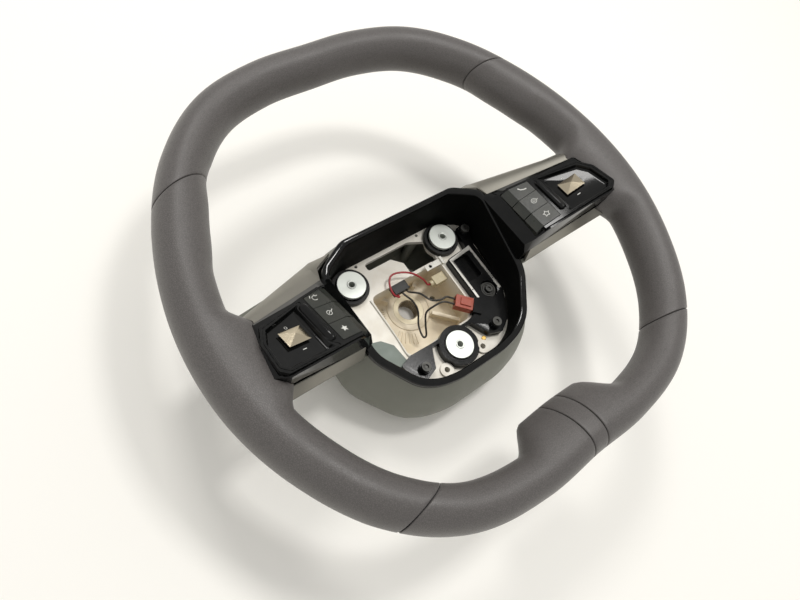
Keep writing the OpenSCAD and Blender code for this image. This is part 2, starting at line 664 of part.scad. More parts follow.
// Horn frame: black carrier screwed over the right and lower side of the plate
frame_screw_at = [[66, 27], [36.5, -52.7], [-36.5, -52.7]];
frame_h = 6.5;
carrier_loop = rounded([[37.2, 12], [59, 14], [62, 32], [70, 33], [70.5, 22], [67, 12], [66, -29], [51, -54],
    [39, -61], [28, -57], [20.5, -42], [-20.5, -42], [-28, -57], [-39, -61], [-48, -53], [-50, -42],
    [-40, -38.5], [-18, -39.2], [18, -39.2], [30, -37], [37.2, -29]], 2);
// The red plug points into the corner of the well
red_at = [27, -26.5, 48];
module at_red() { translate(red_at) rotate(-45) children(); }
module horn_frame() {
    color([0.06, 0.06, 0.065]) difference() {
        union() {
            translate([0, 0, plate_z]) linear_extrude(frame_h) polygon(carrier_loop);
            for (p = frame_screw_at) translate([p[0], p[1], plate_z]) cylinder(h = frame_h + 4, d = 9);
            translate([0, -mount_low, plate_z]) cylinder(h = frame_h, d = seat_d + 3);
            at_red() translate([6, -6.8, plate_z + 0.5 - red_at[2]]) cube([7.5, 13.6, 7.9]);
        }
        translate([42, -13, plate_z + 1.2]) linear_extrude(20) polygon(rounded([[0, 0], [14, 0], [14, 22],
            [0, 22]], 1.5));
        for (m = mounts) translate([m[0], m[1], plate_z - 1]) {
            cylinder(h = seat_h + fit + 1, d = seat_d + 2 * fit);
            cylinder(h = 20, d = disc_room);
        }
        translate([53, -26, plate_z + 1.5]) cylinder(h = 20, d = 15);
        for (p = frame_screw_at) translate([p[0], p[1], plate_z - 1]) cylinder(h = 20, d = 4.2);
        for (x = [-pad_x, pad_x]) translate([x, pad_y, plate_z - 1]) cylinder(h = 20, d = 12);
        at_red() translate([5, -4.3, -3.4]) cube([5.4, 8.6, 6.8]);
    }
}
strip_t = 0.8;
module contact_strip() {
    z = plate_z + frame_h;
    color([0.75, 0.75, 0.74]) translate([0, 0, z]) difference() {
        linear_extrude(strip_t) polygon([[38.2, 11], [62, 14], [63, -30], [60.6, -30], [60.2, 10.5],
            [40.6, 8.6], [40.2, -28], [38.2, -28]]);
        for (x = [39.4, 61.6]) translate([x, -20, -1]) cylinder(h = 3, d = 1.2);
    }
}
module horn_contact() {
    color([0.3, 0.3, 0.31]) translate([53, -26, plate_z + 1.5 + 0.05]) difference() {
        union() {
            cylinder(h = 1.6, d = 14);
            cylinder(h = 5.5, d = 6);
            for (d = [8.5, 11.5]) difference() {
                cylinder(h = 3.4, d = d + 1);
                translate([0, 0, -1]) cylinder(h = 6, d = d - 1);
            }
        }
        translate([0, 0, 4]) cylinder(h = 3, d = 3);
    }
}
module frame_screws() {
    z = plate_z + frame_h + 4;
    color([0.5, 0.5, 0.5]) for (p = frame_screw_at) translate([p[0], p[1], z]) difference() {
        union() {
            cylinder(h = 2.6, d = 7.6);
            translate([0, 0, -frame_h - 4 + fit]) cylinder(h = frame_h + 4, d = 4);
        }
        translate([0, 0, 1.2]) cylinder(h = 3, d = 3.6, $fn = 6);
    }
}
module ground_rivet() {
    color([0.72, 0.58, 0.3]) translate([24.5, -57, plate_z]) cylinder(h = 1.4, d = 3.6);
}
module cover_screws() {
    color([0.3, 0.3, 0.3]) for (p = posts) translate([p[0], p[1], 0]) {
        translate([0, 0, 1.4]) cylinder(h = 2.6, d = 6);
        translate([0, 0, 3]) cylinder(h = plate_z - plate_t - 0.5, d = 2.5);
    }
}
module ground_terminal() {
    color([0.8, 0.8, 0.78]) translate([0, 0, plate_z]) difference() {
        union() {
            translate([19, 13.2, 0.05]) cube([18, 5, 0.8]);
            translate([34.6, 12.2, 0.05]) cube([2.4, 7, 2.2]);
        }
        translate([24, 15.7, -1]) cylinder(h = 4, d = 2.6);
    }
}

// Plugs and the leads between them
module red_plug() {
    color([0.75, 0.2, 0.12]) at_red() difference() {
        union() {
            translate([-9, -5.4, -3.6]) cube([14.7, 10.8, 7.2]);
            translate([5, -4, -3.1]) cube([5.2, 8, 6.2]);
            translate([-5, -3, 3]) cube([9, 6, 2]);
        }
        for (y = [-2.4, 2.4]) translate([-10, y - 1.2, -1.2]) cube([4.5, 2.4, 2.4]);
    }
}
clear_at = [27.6, 5, 36];
module clear_plug() {
    color([0.8, 0.78, 0.7]) translate(clear_at) difference() {
        union() {
            translate([-6, -4, -3]) cube([12.1, 8, 6.6]);
            rotate([0, 90, 0]) translate([0, 0, -9]) cylinder(h = 4, d = 5);
        }
        rotate([0, 90, 0]) translate([0, 0, 3]) cylinder(h = 4, d = 4);
        rotate([0, 90, 0]) translate([0, 0, -10]) cylinder(h = 4, d = 2.2);
    }
}
lead_at = [-9.5, 13, 41.5];
module lead_plug() {
    color([0.08, 0.1, 0.09]) translate(lead_at) difference() {
        translate([-7, -4, -3]) cube([14, 7.95, 6]);
        for (x = [-4.6, 0, 4.6]) translate([x - 1.2, -5, -1.2]) cube([2.4, 4, 2.4]);
    }
}
// Route points chosen by hand
red_route = [[-14.1, 10.8, 41.5], [-14.6, 6.6, 42.8], [-19.5, 9.5, 47.5], [-19, 17, 50], [-14.5, 22.5, 51.5],
    [-7, 21.5, 52.5], [3, 16.5, 50.5], [12, 9.5, 43.5], [16.4, 5.4, 36.8], [20.6, 5, 36]];
black_route = [[-9.5, 10.8, 41.5], [-9, 6, 42], [-5.5, -1, 40], [-4.8, -9.4, 36], [-8.7, -18.5, 30],
    [-10.2, -27.5, 27.5], [-7.6, -28.5, 28.5], [-5.2, -21, 35], [-2.4, -15, 41.5], [4, -14.6, 46.4],
    [11.5, -15.6, 48.4], [16.8, -19.2, 48], [20.7, -23.6, 48]];
horn_route = [[-4.9, 10.8, 41.5], [-4.4, 6.5, 42.2], [1, 0, 45.5], [5, -9, 46.5], [11, -13, 48],
    [17, -13.6, 48.4], [20.2, -16.3, 48.2], [24.1, -20.2, 48]];
lead_d = 1.6;
function spline(pts, q) = let (n = len(pts) - 1, i = min(floor(q), n - 1))
    blend4(pts[max(i - 1, 0)], pts[i], pts[i + 1], pts[min(i + 2, n)], q - i);
module lead(pts, per) {
    n = len(pts) - 1;
    loft([for (j = [0:n * per]) let (q = j / per, p = spline(pts, q),
            t = unit(spline(pts, min(q + 0.05, n)) - spline(pts, max(q - 0.05, 0))),
            side = unit(cross(t, abs(t[2]) > 0.9 ? [1, 0, 0] : [0, 0, 1])), up = cross(side, t))
        [for (k = [0:7]) p + lead_d / 2 * (cos(45 * k) * side + sin(45 * k) * up)]]);
}
module red_lead() { color([0.7, 0.1, 0.12]) lead(red_route, 2); }
module black_lead() { color([0.06, 0.06, 0.06]) lead(black_route, 2); }
module horn_lead() { color([0.06, 0.06, 0.06]) lead(horn_route, 2); }

armature();
rim_core();
column_bush();
rim_foam();
skin_top();
skin_left();
skin_right();
skin_lower_left();
skin_lower_right();
skin_band();
rear_cover();
hub_bezel();
upper_trim(-1);  // upper_trim_left
upper_trim(1);  // upper_trim_right
lower_trim(-1);  // lower_trim_left
lower_trim(1);  // lower_trim_right
switch_housing(-1);  // switch_housing_left
switch_housing(1);  // switch_housing_right
switch_board(-1);  // switch_board_left
switch_board(1);  // switch_board_right
gimbal(-1);  // gimbal_left
gimbal(1);  // gimbal_right
toggle(-1);  // toggle_left
toggle(1);  // toggle_right
key(-1, 2);  // key_top_left
key(-1, 1);  // key_mid_left
key(-1, 0);  // key_low_left
key(1, 2);  // key_top_right
key(1, 1);  // key_mid_right
key(1, 0);  // key_low_right
mount_seats();
mount_disc(0);  // mount_disc_left
mount_disc(1);  // mount_disc_right
mount_disc(2);  // mount_disc_low
mount_spring(0);  // mount_spring_left
mount_spring(1);  // mount_spring_right
mount_spring(2);  // mount_spring_low
horn_frame();
contact_strip();
horn_contact();
frame_screws();
ground_rivet();
cover_screws();
ground_terminal();
red_plug();
clear_plug();
lead_plug();
red_lead();
black_lead();
horn_lead();
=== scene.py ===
"""Car steering wheel with its airbag taken out, lying face up on a pale table.

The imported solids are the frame. Skins, covers and switches are dressed over them in metres,
from the same driving sizes, which are written here in millimetres.
"""
import json
from math import acos, asin, atan2, cos, degrees, pi, radians, sin, tan

import bmesh
import bpy
import numpy as np
from mathutils import Matrix, Vector


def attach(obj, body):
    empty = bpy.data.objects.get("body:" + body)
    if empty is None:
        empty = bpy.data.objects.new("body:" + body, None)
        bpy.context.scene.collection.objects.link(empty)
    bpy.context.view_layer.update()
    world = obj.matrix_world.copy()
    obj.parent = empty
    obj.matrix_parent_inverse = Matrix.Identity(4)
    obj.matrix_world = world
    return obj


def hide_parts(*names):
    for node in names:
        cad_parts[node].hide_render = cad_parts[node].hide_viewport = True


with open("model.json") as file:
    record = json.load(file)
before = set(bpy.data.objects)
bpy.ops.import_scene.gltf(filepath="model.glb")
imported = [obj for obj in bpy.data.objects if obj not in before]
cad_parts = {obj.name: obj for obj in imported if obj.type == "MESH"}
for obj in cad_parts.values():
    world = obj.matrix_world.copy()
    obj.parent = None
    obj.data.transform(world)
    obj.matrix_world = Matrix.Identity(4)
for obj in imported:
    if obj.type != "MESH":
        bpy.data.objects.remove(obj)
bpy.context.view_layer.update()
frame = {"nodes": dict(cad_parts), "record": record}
record = frame["record"]
slot_of = {part["node"]: part["material_slot"] for part in record["subparts"]}
body_of = {node: body for body, nodes in record["behaviour"]["bodies"].items() for node in nodes}
WHEEL = "wheel"
MM = 0.001

# Rim: driving sizes in millimetres
RIM_W, RIM_H, RIM_LIFT, RIM_SHIFT = 375.0, 363.0, 112.0, 20.0
GRIP_W, GRIP_SWELL, GRIP_T, SKIN_T, SEAM_GAP = 28.6, 4.9, 37.0, 1.2, 0.6
SEAM_HIGH, SEAM_LOW, BAND_W = 53.9, 140.7, 13.5
FIN_W, FIN_OUT, FIN_DROP, FIN_FALL = 48.0, 16.0, 11.0, 24.0
ROOT_Y, ROOT_HALF, ROOT_FALL, ROOT_OUT = -2.5, 24.0, 17.0, 12.0
THUMB_A, THUMB_OUT, THUMB_HALF, THUMB_FALL = 64.0, 2.5, 2, 9
SLANT_HIGH, SLANT_LOW, SLANT_HALF, SLANT_FALL = 0.877, -0.694, 1, 16
REACH = [162, 166.5, 172, 171, 168, 167.5, 170, 174.5, 179.5, 185.5, 186.5, 178, 171.5]
REACH_STEP, RIM_SIDES, RIM_STEP, SKIN_ROLL = 15.0, 64, 1.2, 0.9
# Mean reach and degrees in a radian, which turn millimetres along the rim into clock angle
MEAN_REACH, RADIAN = 175, 57.3
# Hub
HUB_HALF_W, HUB_HIGH, HUB_MIDDLE, LIP_W, LIP_TILT = 77.0, 37.4, np.array([0.0, -11.0]), 4.5, 12.2
LIP_HIGH, COVER_TOP, COVER_WALL, PLATE_Z = RIM_LIFT - 21.7, 5.0, 2.2, 44.0
BOSS_H, BORE_D = 14.0, 17.6
# Switch panels
PANEL_X, PANEL_RISE, PANEL_SLOPE, PANEL_LEAN, PANEL_ROOM = 110.0, 3.4, 19.3, 14.9, 0.3
KEY_PITCH, KEY_LOW, KEY_TOP_W, DISH_DEPTH = 15.0, -18.0, 0.3, 3.2
TOGGLE_U, TOGGLE_V = 16.6, -0.3
LEAD_D, CORD_SIDES = 1.6, 14


# Shapes of the rim
def unit(v):
    return v / np.linalg.norm(v)


def blend4(a, b, c, d, f):
    """Smooth curve through b and c, with its slopes from a and d."""
    return b + f * (c - a + f * (2 * a - 5 * b + 4 * c - d + f * (3 * (b - c) + d - a))) / 2


def reach(a):
    q = abs(a) / REACH_STEP
    i = min(int(q), 11)
    near = [REACH[abs(k) if k <= 12 else 24 - k] for k in (i - 1, i, i + 1, i + 2)]
    return blend4(*near, q - i)


side_half = (GRIP_W + GRIP_SWELL) / 2
scale_x = (RIM_W / 2 - side_half) / max(reach(a) * sin(radians(a)) for a in range(60, 121, 5))
scale_y = (RIM_H - GRIP_W) / (REACH[0] + max(-reach(a) * cos(radians(a)) for a in range(150, 181, 5)))


def centre(a):
    r, t = reach(a if abs(a) <= 180 else 360 - abs(a)), radians(a)
    return np.array([r * sin(t) * scale_x, r * cos(t) * scale_y + RIM_SHIFT])


def fade(d, flat, fall):
    return 1.0 if d <= flat else 0.0 if d >= flat + fall else (1 + cos(pi * (d - flat) / fall)) / 2


def fin(a):
    return fade(abs(centre(a)[0]), FIN_W / 2, FIN_FALL) if abs(a) > 90 else 0.0


def inward(a):
    root = fade(abs(centre(a)[1] - ROOT_Y), ROOT_HALF, ROOT_FALL) if 60 < abs(a) < 125 else 0.0
    return FIN_OUT * fin(a) + ROOT_OUT * root + THUMB_OUT * fade(abs(abs(a) - THUMB_A), THUMB_HALF, THUMB_FALL)


def slant(a):
    side = 1 if 0 <= a <= 180 else -1
    return side * (SLANT_HIGH * fade(abs(abs(a) - SEAM_HIGH), SLANT_HALF, SLANT_FALL)
                   + SLANT_LOW * fade(abs(abs(a) - SEAM_LOW), SLANT_HALF, SLANT_FALL))


def rim_ring(a, inset):
    """One section of the rim at clock angle a, sunk by inset below the leather's face."""
    t = unit(centre(a + 0.5) - centre(a - 0.5))
    n = np.array([-t[1], t[0]])
    swell = (1 - cos(radians(2 * a))) / 2
    half_w, half_t = GRIP_W / 2 + GRIP_SWELL / 2 * swell, GRIP_T / 2 + GRIP_SWELL / 4 * swell
    drawn, drop, lean = inward(a), FIN_DROP * fin(a), slant(a)
    ring = []
    for k in range(RIM_SIDES):
        s = -2 * pi * k / RIM_SIDES
        inner = cos(s) < 0
        w = (half_w - inset + (drawn if inner else 0)) * cos(s)
        z = (half_t - inset) * sin(s) - (drop * cos(s) ** 2 if inner else 0)
        p = centre(a) + w * n + w * lean * t
        ring.append((p[0], p[1], RIM_LIFT + z))
    return ring


# Mesh tools
def mesh_of(name, points, faces):
    """A mesh from points in millimetres, with its faces turned outward."""
    mesh = bpy.data.meshes.new(name)
    mesh.from_pydata([tuple(np.array(p) * MM) for p in points], [], faces)
    sheet = bmesh.new()
    sheet.from_mesh(mesh)
    bmesh.ops.remove_doubles(sheet, verts=sheet.verts, dist=1e-6)
    bmesh.ops.recalc_face_normals(sheet, faces=sheet.faces)
    sheet.to_mesh(mesh)
    sheet.free()
    return mesh


def loft(name, rings, closed=False):
    """A skin through rings of equal length: flat ends, or joined last to first."""
    n, m = len(rings[0]), len(rings)
    faces = []
    for j in range(m if closed else m - 1):
        for k in range(n):
            a, b = j * n + k, j * n + (k + 1) % n
            c, d = ((j + 1) % m) * n + (k + 1) % n, ((j + 1) % m) * n + k
            faces.append((a, b, c, d))
    if not closed:
        faces += [tuple(range(n - 1, -1, -1)), tuple((m - 1) * n + k for k in range(n))]
    return mesh_of(name, [p for ring in rings for p in ring], faces)


def prism(name, outline, low, high, place=None):
    """A flat outline drawn out from low to high, put in place by a function if one is given."""
    place = place or (lambda p: p)
    rings = [[place((p[0], p[1], z)) for p in outline] for z in (low, high)]
    return loft(name, rings)


def round_outline(u, v, r, n=40):
    return [(u + r * cos(t), v + r * sin(t)) for t in np.linspace(0, 2 * pi, n, False)]


def other_side(mesh):
    """The same mesh mirrored to the left spoke, with its faces turned outward again."""
    twin = mesh.copy()
    twin.transform(Matrix.Scale(-1, 4, (1, 0, 0)))
    twin.flip_normals()
    return twin


def placed(name, data):
    thing = bpy.data.objects.new(name, data)
    bpy.context.scene.collection.objects.link(thing)
    return thing


def shown_mesh(thing):
    graph = bpy.context.evaluated_depsgraph_get()
    return bpy.data.meshes.new_from_object(thing.evaluated_get(graph))


def worked(mesh, steps):
    """The mesh after a list of modifiers, each given as its kind and its settings."""
    thing = placed("bench", mesh)
    helpers = []
    for kind, settings in steps:
        tool = thing.modifiers.new(kind.lower(), kind)
        for name, value in settings.items():
            if isinstance(value, bpy.types.Mesh):
                value = placed("cutter", value)
                value.hide_render = True
                helpers.append(value)
            setattr(tool, name, value)
    result = shown_mesh(thing)
    for used in helpers + [thing]:
        bpy.data.objects.remove(used)
    return result


def combined(operation, mesh, others, solver="MANIFOLD"):
    return worked(mesh, [("BOOLEAN", {"operation": operation, "solver": solver, "object": m}) for m in others])


def joined(mesh, *others, **how):
    return combined("UNION", mesh, others, **how)


def cut(mesh, *others, **how):
    return combined("DIFFERENCE", mesh, others, **how)


def eased(mesh, width, sharp=30.0, segments=2, flat=0.6):
    """Every sharp edge rounded by width millimetres, and the rest shaded smooth."""
    sheet = bmesh.new()
    sheet.from_mesh(mesh)
    bmesh.ops.remove_doubles(sheet, verts=sheet.verts, dist=2e-6)
    bmesh.ops.dissolve_degenerate(sheet, edges=sheet.edges, dist=2e-6)
    if flat:
        bmesh.ops.dissolve_limit(sheet, verts=sheet.verts, edges=sheet.edges, angle_limit=radians(flat))
    for face in sheet.faces:
        face.smooth = True
    clean = bpy.data.meshes.new(mesh.name)
    sheet.to_mesh(clean)
    sheet.free()
    clean.set_sharp_from_angle(angle=radians(sharp))
    if width == 0:
        return clean
    return worked(clean, [("BEVEL", {"width": width * MM, "segments": segments, "limit_method": "ANGLE",
                                     "angle_limit": radians(sharp), "harden_normals": True,
                                     "miter_outer": "MITER_ARC"})])


def piece(name, mesh, slot, body=WHEEL, nodes=()):
    """A finished piece: its finish, the solids it stands for, and the body it moves with."""
    mesh.materials.clear()
    mesh.materials.append(finish[slot])
    thing = placed(name, mesh)
    if nodes:
        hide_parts(*nodes)
    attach(thing, body)
    return thing


def dressed(node, width, sharp, segments=2):
    """A solid's own shape, with its edges eased and its real finish."""
    mesh = eased(frame["nodes"][node].data, width, sharp, segments)
    return piece(node + "_dressed", mesh, slot_of[node], body_of[node], (node,))


def rounded(points, radius, n=6, corners=None):
    """An outline with its corners rounded by arcs, by one radius or by one for each corner."""
    out, count = [], len(points)
    radii = radius if isinstance(radius, list) else [radius] * count
    for i, p in enumerate(points):
        p, radius = np.array(p, float), radii[i]
        if corners is not None and i not in corners:
            out.append(tuple(p))
            continue
        before, after = np.array(points[i - 1], float) - p, np.array(points[(i + 1) % count], float) - p
        u, v = unit(before), unit(after)
        half = acos(max(-1, min(1, float(u @ v)))) / 2
        d = min(radius / tan(half), min(np.linalg.norm(before), np.linalg.norm(after)) / 2.1)
        c = p + unit(u + v) * d / cos(half)
        start, end = p + u * d - c, p + v * d - c
        a0 = atan2(start[1], start[0])
        turn = (atan2(end[1], end[0]) - a0 + 3 * pi) % (2 * pi) - pi
        r = np.linalg.norm(start)
        out += [(c[0] + r * cos(a0 + turn * k / n), c[1] + r * sin(a0 + turn * k / n)) for k in range(n + 1)]
    return out


# Surface effects shared by several finishes
def add(tree, kind, settings=None, **inputs):
    """A node with its settings and inputs; a socket given as a value is linked."""
    made = tree.nodes.new(kind)
    for name, value in (settings or {}).items():
        setattr(made, name, value)
    for name, value in inputs.items():
        socket = made.inputs[int(name[1:])] if name[0] == "_" else made.inputs[name.replace("_", " ")]
        if isinstance(value, bpy.types.NodeSocket):
            tree.links.new(value, socket)
        else:
            socket.default_value = value
    return made


def object_place(tree):
    """Coordinates of the piece itself."""
    return add(tree, "ShaderNodeTexCoord").outputs["Object"]


def noise_at(tree, place, size, detail, **more):
    return add(tree, "ShaderNodeTexNoise", Vector=place, Scale=size, Detail=detail, **more).outputs["Fac"]


def mapped(tree, value, low, high, first, last):
    """A value between low and high turned to one between first and last."""
    return add(tree, "ShaderNodeMapRange", _0=value, _1=low, _2=high, _3=first, _4=last).outputs[0]


def maths(tree, kind, *values):
    inputs = {f"_{i}": value for i, value in enumerate(values)}
    return add(tree, "ShaderNodeMath", {"operation": kind}, **inputs).outputs[0]


def effect(name, inputs, outputs):
    """An empty group with named inputs, each with its usual value, and named outputs."""
    tree = bpy.data.node_groups.new(name, "ShaderNodeTree")
    for label, value in inputs.items():
        socket = tree.interface.new_socket(name=label, in_out="INPUT", socket_type="NodeSocketFloat")
        socket.default_value = value
    for label in outputs:
        tree.interface.new_socket(name=label, in_out="OUTPUT", socket_type="NodeSocketFloat")
    return tree, tree.nodes.new("NodeGroupInput").outputs, tree.nodes.new("NodeGroupOutput").inputs


def grain_effect():
    """Pebbled cells with fine pores between them, for hide and for grained mouldings."""
    tree, given, out = effect("grain", {"Cells": 700.0, "Pores": 2600.0, "Pore Share": 0.35}, ["Height", "Crease"])
    place = object_place(tree)
    wander = add(tree, "ShaderNodeTexNoise", Vector=place, Scale=260.0, Detail=2.0)
    shifted = add(tree, "ShaderNodeMixRGB", {"blend_type": "LINEAR_LIGHT"}, Fac=0.0011, Color1=place,
                  Color2=wander.outputs["Color"])
    cells = add(tree, "ShaderNodeTexVoronoi", {"feature": "DISTANCE_TO_EDGE"}, Vector=shifted.outputs[0],
                Scale=given["Cells"])
    crease = mapped(tree, cells.outputs["Distance"], 0.0, 0.22, 1.0, 0.0)
    pores = noise_at(tree, place, given["Pores"], 3.0)
    share = maths(tree, "MULTIPLY", pores, given["Pore Share"])
    tree.links.new(maths(tree, "SUBTRACT", share, crease), out["Height"])
    tree.links.new(crease, out["Crease"])
    return tree


def drift_effect():
    """Slow change of tone over a surface, round 1."""
    tree, given, out = effect("tone drift", {"Size": 20.0, "Spread": 0.2}, ["Tone"])
    noise = noise_at(tree, object_place(tree), given["Size"], 4.0, Roughness=0.6)
    spread = maths(tree, "MULTIPLY", maths(tree, "SUBTRACT", noise, 0.5), given["Spread"])
    tree.links.new(maths(tree, "ADD", spread, 1.0), out["Tone"])
    return tree


def edge_wear_and_highlight_effect():
    """Mask of bright edges, broken up by noise: rubbed wear on most finishes, a painted highlight on the gloss
    lacquer.
    """
    tree, given, out = effect("edge wear and highlight", {"Width": 0.0006, "Amount": 0.5}, ["Wear"])
    geometry = add(tree, "ShaderNodeNewGeometry")
    soft = add(tree, "ShaderNodeBevel", {"samples": 4}, Radius=given["Width"])
    facing = add(tree, "ShaderNodeVectorMath", {"operation": "DOT_PRODUCT"}, _0=soft.outputs[0],
                 _1=geometry.outputs["Normal"])
    edge = mapped(tree, facing.outputs["Value"], 0.99, 0.86, 0.0, 1.0)
    patch = mapped(tree, noise_at(tree, object_place(tree), 420.0, 3.0), 0.35, 0.62, 0.0, 1.0)
    wear = maths(tree, "MULTIPLY", maths(tree, "MULTIPLY", edge, patch), given["Amount"])
    tree.links.new(wear, out["Wear"])
    return tree


def dust_effect():
    """Mask of dust lying on faces that look up, in soft patches."""
    tree, given, out = effect("dust", {"Amount": 0.2, "Size": 60.0}, ["Dust"])
    geometry = add(tree, "ShaderNodeNewGeometry")
    up = add(tree, "ShaderNodeSeparateXYZ", Vector=geometry.outputs["Normal"])
    lying = mapped(tree, up.outputs["Z"], 0.3, 1.0, 0.0, 1.0)
    noise = noise_at(tree, object_place(tree), given["Size"], 6.0, Roughness=0.7)
    patch = mapped(tree, noise, 0.4, 0.75, 0.0, 1.0)
    dust = maths(tree, "MULTIPLY", maths(tree, "MULTIPLY", lying, patch), given["Amount"])
    tree.links.new(dust, out["Dust"])
    return tree


GRAIN, DRIFT, EDGE_WEAR_AND_HIGHLIGHT, DUST = grain_effect(), drift_effect(), edge_wear_and_highlight_effect(), dust_effect()


def use(tree, group, **values):
    """A shared effect placed in a finish, with its own values."""
    made = tree.nodes.new("ShaderNodeGroup")
    made.node_tree = group
    for name, value in values.items():
        made.inputs[name.replace("_", " ")].default_value = value
    return made.outputs


def srgb(r, g, b):
    """A colour read off as 0 to 255, as the shader wants it."""
    return tuple((c / 255 / 12.92) if c <= 10 else ((c / 255 + 0.055) / 1.055) ** 2.4 for c in (r, g, b)) + (1.0,)


def surface(name, colour, rough, metal=0.0, **constants):
    """A finish with its shader: constants go straight on the shader's own sockets."""
    made = bpy.data.materials.new(name)
    made.use_nodes = True
    tree = made.node_tree
    tree.nodes.clear()
    shader = add(tree, "ShaderNodeBsdfPrincipled", Base_Color=colour, Roughness=rough, Metallic=metal, **constants)
    add(tree, "ShaderNodeOutputMaterial", Surface=shader.outputs[0])
    return made, tree, shader


def tinted(tree, shader, colour, size, spread, *layers):
    """Base colour with its tone drifting, then each layer's colour mixed in by its mask."""
    tone = use(tree, DRIFT, Size=size, Spread=spread)["Tone"]
    socket = add(tree, "ShaderNodeVectorMath", {"operation": "SCALE"}, _0=colour[:3], Scale=tone).outputs[0]
    for mask, over in layers:
        mixed = add(tree, "ShaderNodeMixRGB", Fac=mask, Color1=socket, Color2=over)
        socket = mixed.outputs[0]
    tree.links.new(socket, shader.inputs["Base Color"])


def roughened(tree, shader, low, high, size, extra=None):
    """Roughness between low and high in patches, raised by a mask where one is given."""
    noise = noise_at(tree, object_place(tree), size, 5.0, Roughness=0.65)
    socket = mapped(tree, noise, 0.3, 0.7, low, high)
    if extra is not None:
        socket = maths(tree, "MULTIPLY_ADD", extra, 0.4, socket)
    tree.links.new(socket, shader.inputs["Roughness"])


def bumped(tree, shader, height, distance, strength):
    bump = add(tree, "ShaderNodeBump", Strength=strength, Distance=distance, Height=height)
    tree.links.new(bump.outputs[0], shader.inputs["Normal"])


def hide_finish():
    """Charcoal grained leather, with a soft sheen on top and darker creases."""
    colour = srgb(94, 90, 88)
    made, tree, shader = surface("charcoal leather", colour, 0.45, Sheen_Weight=0.1, Sheen_Roughness=0.4)
    grain = use(tree, GRAIN, Cells=900.0, Pores=3200.0, Pore_Share=0.35)
    tinted(tree, shader, colour, 9.0, 0.2, (grain["Crease"], srgb(78, 75, 73)))
    roughened(tree, shader, 0.36, 0.48, 30.0)
    bumped(tree, shader, grain["Height"], 0.00007, 0.6)
    return made


def moulding_finish(name, colour, low, high, cells=1100.0, depth=0.00006, dust=0.12, wear=0.25, gleam=0.5):
    """Moulded plastic with a fine grain, a little dust and rubbed edges."""
    made, tree, shader = surface(name, colour, low, Specular_IOR_Level=gleam)
    grain = use(tree, GRAIN, Cells=cells, Pores=cells * 3, Pore_Share=0.5)
    edge = use(tree, EDGE_WEAR_AND_HIGHLIGHT, Width=0.0005, Amount=wear)
    lying = use(tree, DUST, Amount=dust, Size=70.0)
    light = tuple(min(1, c * 2.2 + 0.02) for c in colour[:3]) + (1.0,)
    tinted(tree, shader, colour, 14.0, 0.25, (edge["Wear"], light), (lying["Dust"], srgb(170, 160, 140)))
    roughened(tree, shader, low, high, 40.0, lying["Dust"])
    bumped(tree, shader, grain["Height"], depth, 0.6)
    return made


def lacquer_finish():
    """Gloss black lacquer, wiped but with faint smears, and with painted highlight lines along its edges."""
    colour = srgb(8, 9, 9)
    made, tree, shader = surface("gloss black lacquer", colour, 0.05, Specular_IOR_Level=0.26)
    # Painted highlight: the bright edge mask lays pale lines along the lacquer's edges in place of light caught there.
    edge = use(tree, EDGE_WEAR_AND_HIGHLIGHT, Width=0.0003, Amount=0.2)
    lying = use(tree, DUST, Amount=0.02, Size=90.0)
    tinted(tree, shader, colour, 25.0, 0.4, (edge["Wear"], srgb(118, 118, 114)),
           (lying["Dust"], srgb(150, 145, 135)))
    roughened(tree, shader, 0.04, 0.12, 22.0, lying["Dust"])
    return made


def metal_finish(name, colour, low, high, metal=1.0, pits=0.0, pit_size=900.0, wear=0.3, dust=0.1):
    """Bare or plated metal: drifting tone, cast pits where asked, bright edges and settled dust."""
    made, tree, shader = surface(name, colour, low, metal)
    edge = use(tree, EDGE_WEAR_AND_HIGHLIGHT, Width=0.0006, Amount=wear)
    lying = use(tree, DUST, Amount=dust, Size=45.0)
    bright = tuple(min(1, c * 1.2 + 0.05) for c in colour[:3]) + (1.0,)
    tinted(tree, shader, colour, 18.0, 0.3, (lying["Dust"], srgb(120, 110, 90)), (edge["Wear"], bright))
    roughened(tree, shader, low, high, 55.0, lying["Dust"])
    if pits:
        bumped(tree, shader, noise_at(tree, object_place(tree), pit_size, 4.0), pits, 0.7)
    return made


def casting_finish(name, colour, shade_colour, top, bottom, metal=0.25):
    """Bright casting with painted shade: its colour turns to a darker tan from one height down to another, in metres,
    in place of the shade in its hollows.
    """
    made, tree, shader = surface(name, colour, 0.45, metal)
    edge = use(tree, EDGE_WEAR_AND_HIGHLIGHT, Width=0.0006, Amount=0.5)
    lying = use(tree, DUST, Amount=0.25, Size=45.0)
    place = object_place(tree)
    height = add(tree, "ShaderNodeSeparateXYZ", Vector=place)
    # Painted shade: the colour turns darker tan from the top height down to the bottom one.
    shade_by_height = mapped(tree, height.outputs["Z"], top, bottom, 0.0, 1.0)
    share = mapped(tree, noise_at(tree, place, 60.0, 5.0), 0.3, 0.7, 0.75, 1.0)
    depth = maths(tree, "MULTIPLY", shade_by_height, share)
    tinted(tree, shader, colour, 18.0, 0.12, (depth, shade_colour), (lying["Dust"], srgb(214, 198, 165)),
           (edge["Wear"], srgb(250, 248, 242)))
    roughened(tree, shader, 0.4, 0.58, 55.0, lying["Dust"])
    bumped(tree, shader, noise_at(tree, place, 700.0, 4.0), 0.00008, 0.7)
    return made


def sleeve_finish(name, colour):
    """Soft plastic wire sleeve with faint ripples."""
    made, tree, shader = surface(name, colour, 0.4)
    lying = use(tree, DUST, Amount=0.25, Size=160.0)
    tinted(tree, shader, colour, 120.0, 0.4, (lying["Dust"], srgb(170, 160, 145)))
    roughened(tree, shader, 0.32, 0.5, 150.0)
    bumped(tree, shader, noise_at(tree, object_place(tree), 700.0, 2.0), 0.00004, 0.6)
    return made


